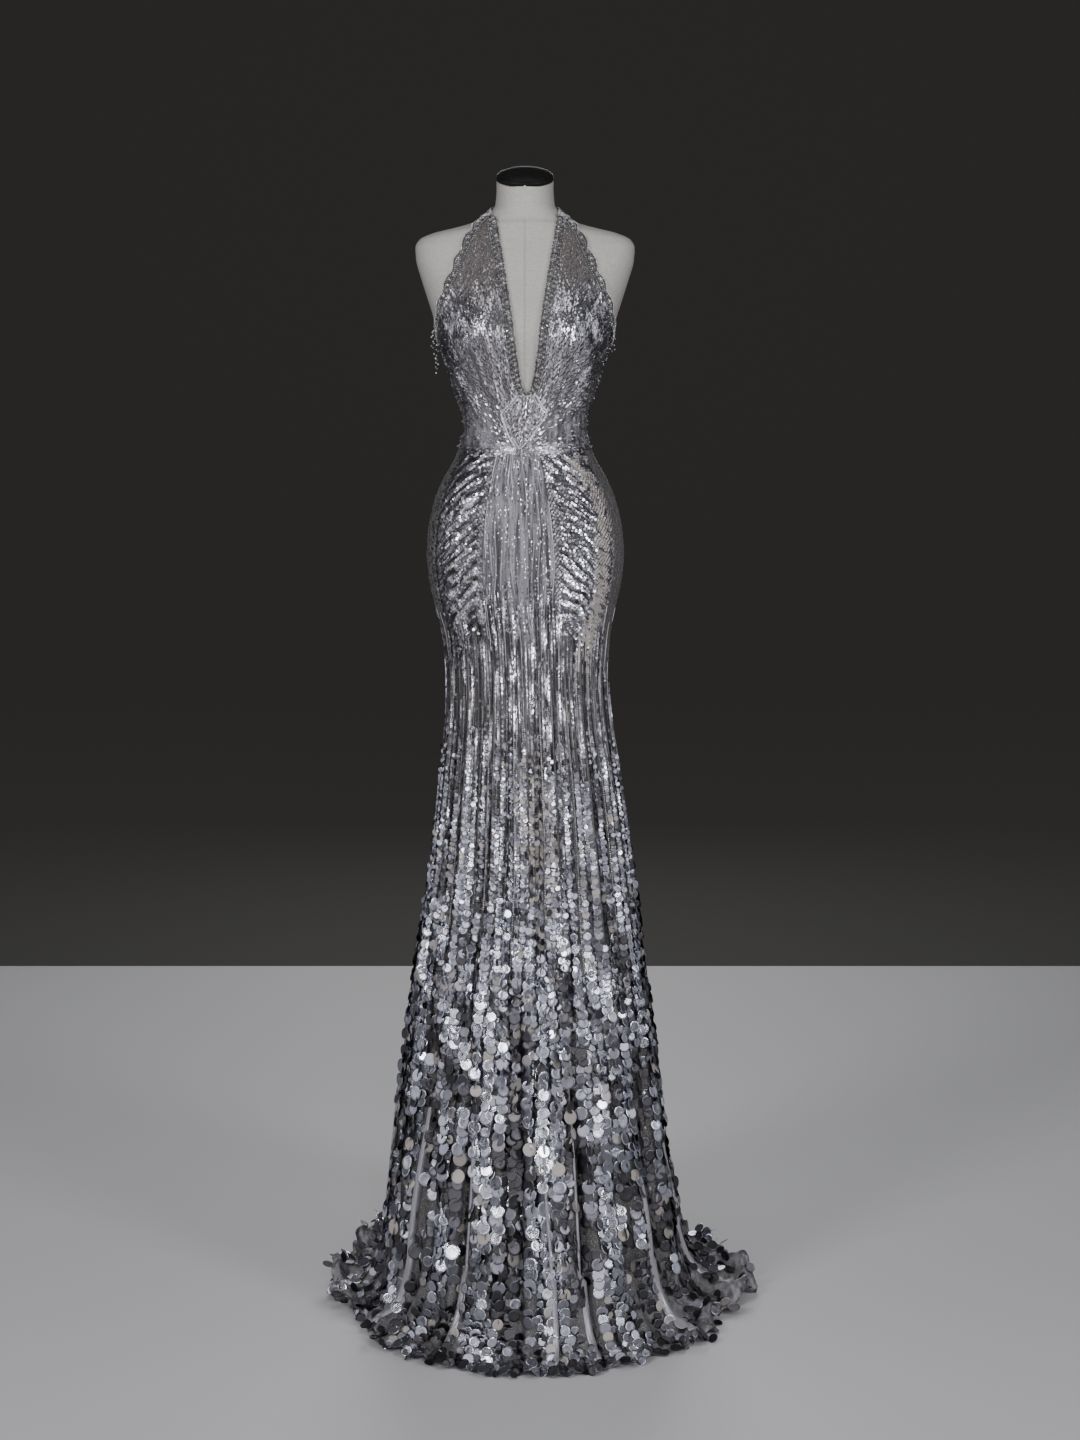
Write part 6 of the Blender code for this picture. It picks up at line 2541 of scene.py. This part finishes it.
@dataclass
class Beadwork:
    """The beaded neckline bands, scalloped armhole edging, strap, kite and strands."""

    bodice: BodiceForm
    finishes: Finishes
    band_width: float = 0.0135
    rosette_pitch: float = 0.0080
    rosette_size: float = 0.0031
    petals: int = 7
    scallop_length: float = 0.036
    scallop_rise: float = 0.0055
    edging_width: float = 0.0095
    strip: float = 0.0005
    strap_columns: int = 118
    strap_rows: int = 7
    kite_pitch: float = 0.0027
    kite_step: float = 0.0044
    kite_flake: float = 0.0029
    strand_pitch: float = 0.0074
    strand_bead: float = 0.0018

    def build(self) -> None:
        """Make all the beadwork and the strips that it is sewn on."""
        for side in Side:
            self._band(side)
            self._edging(side)
        self._strap()
        self._kite()
        self._strands()

    def _surface(self, angle: Array, z: Array) -> Array:
        """Return points on which the beads are sewn."""
        return self.bodice.body.offset(angle, z, CLOTH_GAP + CLOTH)

    def _beads(
        self, angle: Array, z: Array, size: Array | float, tone: Array, out: float = 0.0
    ) -> Placing:
        """Lay beads on the cloth."""
        return lay(self._surface, angle, z, (0.4, 0.001), size, tone).lifted(out)

    def _rosettes(self, angle: Array, z: Array, size: float, seed: int) -> tuple[Placing, Placing]:
        """Make the crystals and the rings of beads of a row of rosettes.

        Args:
            angle: Where each stands.
            z: Where each stands.
            size: Radius of the ring of beads.
            seed: Picks the tones.

        Returns:
            The crystals and the beads.
        """
        chance = default_rng(seed)
        bright = chance.uniform(0.0, 1.0, len(angle))
        middle = self._beads(angle, z, size * 0.50, 0.35 + 0.65 * bright)
        crystals = hang(middle.lifted(0.0009), Sway(0.0, 8.0, 9.0, 40.0, 0.15), seed + 1)
        turn = (np.arange(self.petals) * TURN / self.petals)[None, :, None]
        ring = np.cos(turn) * middle.axes[:, None, 0] + np.sin(turn) * middle.axes[:, None, 1]
        ring = (middle.origin[:, None] + size * ring).reshape(-1, 3)
        uneven = chance.uniform(-0.2, 0.5, len(ring))
        tones = np.clip(np.repeat(0.5 * bright, self.petals) + uneven, 0.0, 1.0)
        axes = np.repeat(middle.axes, self.petals, axis=0)
        beads = Placing(ring, axes, np.full(len(ring), size * 0.37), tones)
        return crystals, beads.lifted(0.0004)

    def _trim(
        self, side: Side, net: str, angle: Array, z: Array, rosettes: list, strings: list
    ) -> None:
        """Make one beaded edge: its strip of net, its beads and its crystals.

        Args:
            side: Which side it is on.
            net: "neckline" or "armhole".
            angle: (rows, columns) angles of the net.
            z: Heights of the net's rows.
            rosettes: Pairs of crystals and beads.
            strings: Further beads.
        """
        word = "_" + side.word
        node = {"neckline": "neckline_band", "armhole": "armhole_edging"}[net] + word
        angle, z = np.broadcast_arrays(angle, z)
        if side is Side.LEFT:
            angle = angle[:, ::-1]
            z = z[:, ::-1]
        outer = self._surface(angle, z)
        inner = self.bodice.body.offset(angle, z, CLOTH_GAP + CLOTH - self.strip)
        strip = make_shell(net + "_net" + word, [outer], [inner], self.finishes.edge_tulle)
        report(strip, TRIM, node)
        crystals, beads = zip(*rosettes)
        name = net + "_beads" + word
        finish = self.finishes.crystal
        sew(name, round_bead(), join_placings([*beads, *strings]), finish, TRIM)
        sew(name + "_crystals", cut_crystal(), join_placings(crystals), finish, TRIM)

    def _band(self, side: Side) -> None:
        """Make the band beside the neckline: two rows of rosettes between strings of beads.

        Args:
            side: Which side.
        """
        chance = default_rng(141 + side.value)
        z = np.arange(NECKLINE_POINT + 0.002, BODICE_TOP, 0.0006)
        length = run_length(self._surface(self.bodice.inner_angle(side, z), z))

        def across(level: Array, share: Array | float) -> Array:
            """Return the angle at a share of the band's width.

            Args:
                level: Height of each place.
                share: Share of the band's width.

            Returns:
                Degrees round the body.
            """
            base = self.bodice.inner_angle(side, level)
            wide = self.bodice.body.degrees_for(self.band_width, base, level)
            return base + side.value * wide * share

        rosettes = []
        for number, (share, start, size) in enumerate(((0.32, 0.0, 1.0), (0.82, 0.5, 0.74))):
            stops = np.arange(self.rosette_pitch * start, length[-1], self.rosette_pitch)
            level = np.interp(stops, length, z)
            size = self.rosette_size * size
            seed = 151 + side.value * 3 + number
            rosettes.append(self._rosettes(across(level, share), level, size, seed))
        strings = []
        for share, pitch, size in (
            (-0.03, 0.0030, 0.0013), (0.60, 0.0042, 0.0010), (1.08, 0.0036, 0.0011)
        ):
            level = np.interp(np.arange(0.0, length[-1], pitch), length, z)
            tone = chance.uniform(0.0, 1.0, len(level)) ** 1.5
            strings.append(self._beads(across(level, share), level, size, tone, 0.0004))
        level = z[::6][:, None]
        angle = across(level, np.linspace(0.0, 1.0, 6)[None, :])
        self._trim(side, "neckline", angle, level, rosettes, strings)

    def _edging(self, side: Side) -> None:
        """Make the scallops along the armhole: an arc of beads round a fan of rosettes for each.

        Args:
            side: Which side.
        """
        chance = default_rng(161 + side.value)
        z = np.arange(ARMHOLE_Z + 0.0005, BODICE_TOP - 0.001, 0.0004)
        length = run_length(self._surface(self.bodice.outer_angle(side, z), z))

        def outward_of(stops: Array, proud: Array | float) -> tuple[Array, Array]:
            """Return angle and height of places that stand out from the armhole's edge.

            Args:
                stops: Places along it.
                proud: How far they stand out.

            Returns:
                Angle and height of each place.
            """
            level = np.interp(stops, length, z)
            base = self.bodice.outer_angle(side, level)
            return base + side.value * self.bodice.body.degrees_for(1.0, base, level) * proud, level

        def arc(stops: Array) -> Array:
            """Return how far the scallops' outline stands out."""
            turn = math.pi * stops / self.scallop_length
            return 0.0005 + self.scallop_rise * np.abs(np.sin(turn))

        strings = []
        for share, inset, pitch, size in (
            (1.0, 0.0, 0.0029, 0.0015), (0.75, 0.003, 0.003, 0.0009), (0.0, 0.0085, 0.0034, 0.001)
        ):
            stops = np.arange(0.0, length[-1], pitch)
            places = outward_of(stops, arc(stops) * share - inset)
            tone = chance.uniform(0.35, 1.0, len(stops))
            strings.append(self._beads(*places, size, tone, 0.0002))
        rosettes = []
        fan = ((0.5, 0.0015, 0.0034), (0.24, 0.0036, 0.0026), (0.76, 0.0036, 0.0026))
        for number, (shift, inset, size) in enumerate((*fan, (0.0, 0.0058, 0.0024))):
            stops = np.arange(self.scallop_length * shift + 0.002, length[-1], self.scallop_length)
            seed = 171 + side.value * 5 + number
            rosettes.append(self._rosettes(*outward_of(stops, -inset), size, seed))
        stops = np.arange(0.0, length[-1], 0.0024)[:, None]
        reach = (arc(stops) + self.edging_width) * np.linspace(0.0, 1.0, 6)[None, :]
        angle, level = outward_of(stops, -self.edging_width + reach)
        self._trim(side, "armhole", angle, level, rosettes, strings)

    def _strap(self) -> None:
        """Make the rows of beads on the strap behind the neck."""
        chance = default_rng(181)
        start = STRAP[0][0]
        angle = np.linspace(start + 1.0, 359.0 - start, self.strap_columns)[None, :]
        z = self.bodice.strap(angle, np.linspace(0.08, 0.92, self.strap_rows)[:, None])
        tall = self.bodice.strap(angle, 1.0) - self.bodice.strap(angle, 0.0)
        angle, z, tall = flat(angle, z, tall)
        size = np.minimum(0.0012, 0.10 * tall + 0.0003)
        tone = chance.uniform(0.1, 1.0, len(z))
        beads = self._beads(angle, z, size, tone, -0.0004)
        sew("neck_strap_beads", round_bead(), beads, self.finishes.crystal, TRIM)

    def _kite(self) -> None:
        """Make the kite below the neckline's point: flakes in chevrons inside strings of beads."""
        chance = default_rng(191)
        rows = []
        for row, z in enumerate(np.arange(WAIST_Z + 0.001, NECKLINE_POINT, self.kite_pitch)):
            half = float(self.bodice.motif(z))
            count = max(1, int(half * 2.0 / self.kite_step))
            x = (np.arange(count) + 0.5 * (row % 2) + 0.25) / count * 2.0 * half - half
            level = np.full(count, z)
            angle = self.bodice.body.angle_at(self.bodice.centre_x(z) + x, level)
            rows.append((angle, level, np.sign(x) * 0.62))
        angle, z, turn = (np.concatenate(values) for values in zip(*rows))
        z = z + 0.0004 * chance.standard_normal(len(z))
        tone = 0.28 + 0.20 * chance.standard_normal(len(z))
        placing = self._beads(angle, z, self.kite_flake, tone, 0.0004).turned(turn)
        dots = placing.lifted(0.0010).kept(chance.uniform(0.0, 1.0, len(z)) < 0.22)
        size, tone = np.full_like(dots.radius, 0.0011), np.full_like(dots.tone, 0.85)
        dots = replace(dots, radius=size, tone=tone)
        placing = hang(placing, Sway(9.0, 5.0, 9.0, 9.0, 0.15), 192)
        shape = disc_shape(6, 0.10, 0.50, 0.5)
        sew("kite_flakes", shape, placing, self.finishes.flake, TRIM, "centre_motif")
        outline = [dots]
        level = np.linspace(WAIST_Z + 0.001, NECKLINE_POINT - 0.0005, 36)
        for inset, size in ((0.0, 0.0021), (0.0050, 0.0013)):
            for side in Side:
                half = np.maximum(self.bodice.motif(level) - inset, 0.0006)
                x = self.bodice.centre_x(level) + side.value * half
                tone = chance.uniform(0.85, 1.0, len(level))
                angle = self.bodice.body.angle_at(x, level)
                outline.append(self._beads(angle, level, size, tone, 0.0014))
        x = np.linspace(-1.0, 1.0, 14) * float(self.bodice.motif(NECKLINE_POINT))
        z = np.full(14, NECKLINE_POINT - 0.0006)
        angle = self.bodice.body.angle_at(self.bodice.centre_x(z) + x, z)
        outline.append(self._beads(angle, z, 0.0013, np.full(14, 0.9), 0.0012))
        sew("kite_beads", round_bead(), join_placings(outline), self.finishes.crystal, TRIM)

    def _strands(self) -> None:
        """Make the short strands of beads that hang at the foot of each armhole."""
        chance = default_rng(201)
        places = []
        for side, count, longest in ((Side.LEFT, 5, 0.050), (Side.RIGHT, 3, 0.022)):
            for i in range(count):
                z = ARMHOLE_Z - 0.006 + 0.0088 * i
                angle = float(self.bodice.outer_angle(side, z))
                start = self._surface(np.array([angle]), np.array([z]))[0]
                length = longest * chance.uniform(0.45, 1.0)
                stand = chance.uniform(0.002, 0.011)
                for down in np.arange(0.0, length, self.strand_pitch):
                    proud = stand * float(ease(down / 0.012)) * chance.uniform(0.55, 1.2)
                    drop = np.array([0.0, 0.0, 0.004 - down * 0.92])
                    places.append(start + outward(angle) * proud + drop)
        count = len(places)
        axes = np.broadcast_to(np.eye(3), (count, 3, 3))
        size = np.full(count, self.strand_bead)
        placing = Placing(np.array(places), axes, size, chance.uniform(0.3, 1.0, count))
        sew("armhole_strands", round_bead(), placing, self.finishes.crystal, TRIM)


class Softbox(NamedTuple):
    """One soft light: its name, place, size, power and what it points at."""

    name: str
    place: tuple
    width: float
    height: float
    power: float
    aim: tuple = (0.0, 0.0, 0.9)
    colour: tuple = (1.0, 1.0, 1.0)


COOL = (0.95, 0.96, 1.0)
WALL_AIM = (0.0, 0.0, 1.1)
HIGH_AIM = (0.0, 0.0, 0.8)
SOFTBOXES = [
    Softbox("left_box", (-2.2, -2.6, 2.4), 0.8, 1.3, 50.0, colour=(0.99, 0.98, 1.0)),
    Softbox("right_box", (2.4, -2.3, 2.0), 0.7, 1.4, 40.0, colour=(0.97, 0.97, 1.0)),
    Softbox("front_box", (0.35, -4.0, 2.3), 0.5, 0.5, 22.0),
    Softbox("wide_box", (0.0, -5.4, 2.1), 4.2, 2.6, 22.0, colour=COOL),
    Softbox("low_box", (-0.3, -3.9, 0.55), 2.4, 0.5, 14.0),
    Softbox("left_wall", (-3.6, -0.3, 1.5), 1.8, 2.6, 16.0, WALL_AIM, COOL),
    Softbox("right_wall", (3.6, -0.3, 1.5), 1.8, 2.6, 13.0, WALL_AIM, COOL),
    Softbox("top_box", (0.0, -0.8, 3.8), 2.2, 1.6, 16.0, HIGH_AIM),
    Softbox("back_box", (0.0, 3.4, 2.3), 1.6, 1.6, 38.0, HIGH_AIM),
]


@dataclass
class Studio:
    """The camera, the soft lights, the pale floor and the plain backdrop."""

    body: BodySurface
    lens: float = 53.75
    sensor: float = 36.0
    shift: float = -0.05
    pitch: float = 5.2
    camera_right: float = 0.0232
    camera_back: float = 3.3771
    camera_height: float = 1.3525
    floor_half: float = 5.0
    floor_back: float = 2.15
    wall_back: float = 9.0
    wall_height: float = 9.0
    wall_foot: float = -0.002
    room_colour: tuple = (0.90, 0.91, 1.0, 1.0)
    room_light: float = 0.07

    def build(self) -> None:
        """Make them all."""
        self._camera()
        self._lights()
        self._floor()
        self._world()

    def _camera(self) -> None:
        """Place the camera level with the waist, looking slightly down."""
        data = bpy.data.cameras.new("camera")
        data.lens = self.lens
        data.sensor_width = self.sensor
        data.sensor_fit = "AUTO"
        data.shift_y = self.shift
        camera = bpy.data.objects.new("camera", data)
        x, y = self.body.axis
        camera.location = (x + self.camera_right, y - self.camera_back, self.camera_height)
        camera.rotation_euler = (math.radians(90.0 - self.pitch), 0.0, 0.0)
        link(camera)
        bpy.context.scene.camera = camera

    def _lights(self) -> None:
        """Hang the soft boxes."""
        for box in SOFTBOXES:
            data = bpy.data.lights.new(box.name, "AREA")
            data.shape = "RECTANGLE"
            data.size = box.width
            data.size_y = box.height
            data.energy = box.power
            data.color = box.colour
            lamp = bpy.data.objects.new(box.name, data)
            lamp.visible_camera = False
            lamp.location = box.place
            aim = Vector(box.aim) - Vector(box.place)
            lamp.rotation_euler = aim.to_track_quat("-Z", "Y").to_euler()
            link(lamp)

    def _floor(self) -> None:
        """Lay the floor and hang the backdrop behind it."""
        w = self.floor_half
        back = self.floor_back
        corners = np.array([[-w, -w, 0.0], [w, -w, 0.0], [w, back, 0.0], [-w, back, 0.0]])
        pale = FloorFinish("pale_floor", (0.55, 0.55, 0.56), 0.55).make()
        floor = make_object("floor", corners, np.array([[0, 1, 2, 3]]), pale, smooth=False)
        far = self.wall_back
        low = self.wall_foot
        high = self.wall_height
        corners = [[-w, back, low], [w, back, low], [w, far, low], [-w, far, low]]
        corners = np.array([*corners, [w, far, high], [-w, far, high]])
        faces = np.array([[0, 1, 2, 3], [3, 2, 4, 5]])
        glow = (0.0220, 0.0212, 0.0200)
        grey = FloorFinish("plain_backdrop", (0.012, 0.0117, 0.011), 0.9, glow).make()
        make_object("backdrop", corners, faces, grey, smooth=False)

    def _world(self) -> None:
        """Give the room a dim even light."""
        world = bpy.data.worlds.new("room")
        world.use_nodes = True
        inputs = world.node_tree.nodes["Background"].inputs
        inputs["Color"].default_value = self.room_colour
        inputs["Strength"].default_value = self.room_light
        bpy.context.scene.world = world


class Cut(NamedTuple):
    """A piece of cloth as it was cut: its width, length and area when it lay flat."""

    piece: str
    width: float
    length: float
    area: float
    held: str
    rests_on: str
    carries: tuple = ()


def pole_axis() -> tuple[float, float]:
    """Return where the pole stands, from its solid."""
    low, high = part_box("stand_pole")
    return (low[0] + high[0]) / 2.0, (low[1] + high[1]) / 2.0


def clear_start() -> None:
    """Remove what the new file holds beside the frame."""
    for item in list(bpy.data.objects):
        if item.type in {"CAMERA", "LIGHT"} or item.name == "Cube":
            bpy.data.objects.remove(item, do_unlink=True)


def main() -> None:
    """Build every piece in order."""
    logging.basicConfig(level=logging.INFO, format="%(name)s: %(message)s")
    clear_start()
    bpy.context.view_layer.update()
    body = BodySurface(pole_axis())
    finishes = Finishes(body)
    skirt = SkirtForm(body)
    flounce = FlounceForm(skirt)
    bodice = BodiceForm(body)
    for assembly in (
        Studio(body), DressForm(body, finishes), PoleStand(body, finishes),
        Skirt(skirt, flounce, finishes), Flounce(flounce, finishes), Bodice(bodice, finishes),
        SkirtSequins(skirt, flounce, finishes), BodiceSequins(bodice, finishes),
        Beadwork(bodice, finishes),
    ):
        assembly.build()


if __name__ == "__main__":
    main()
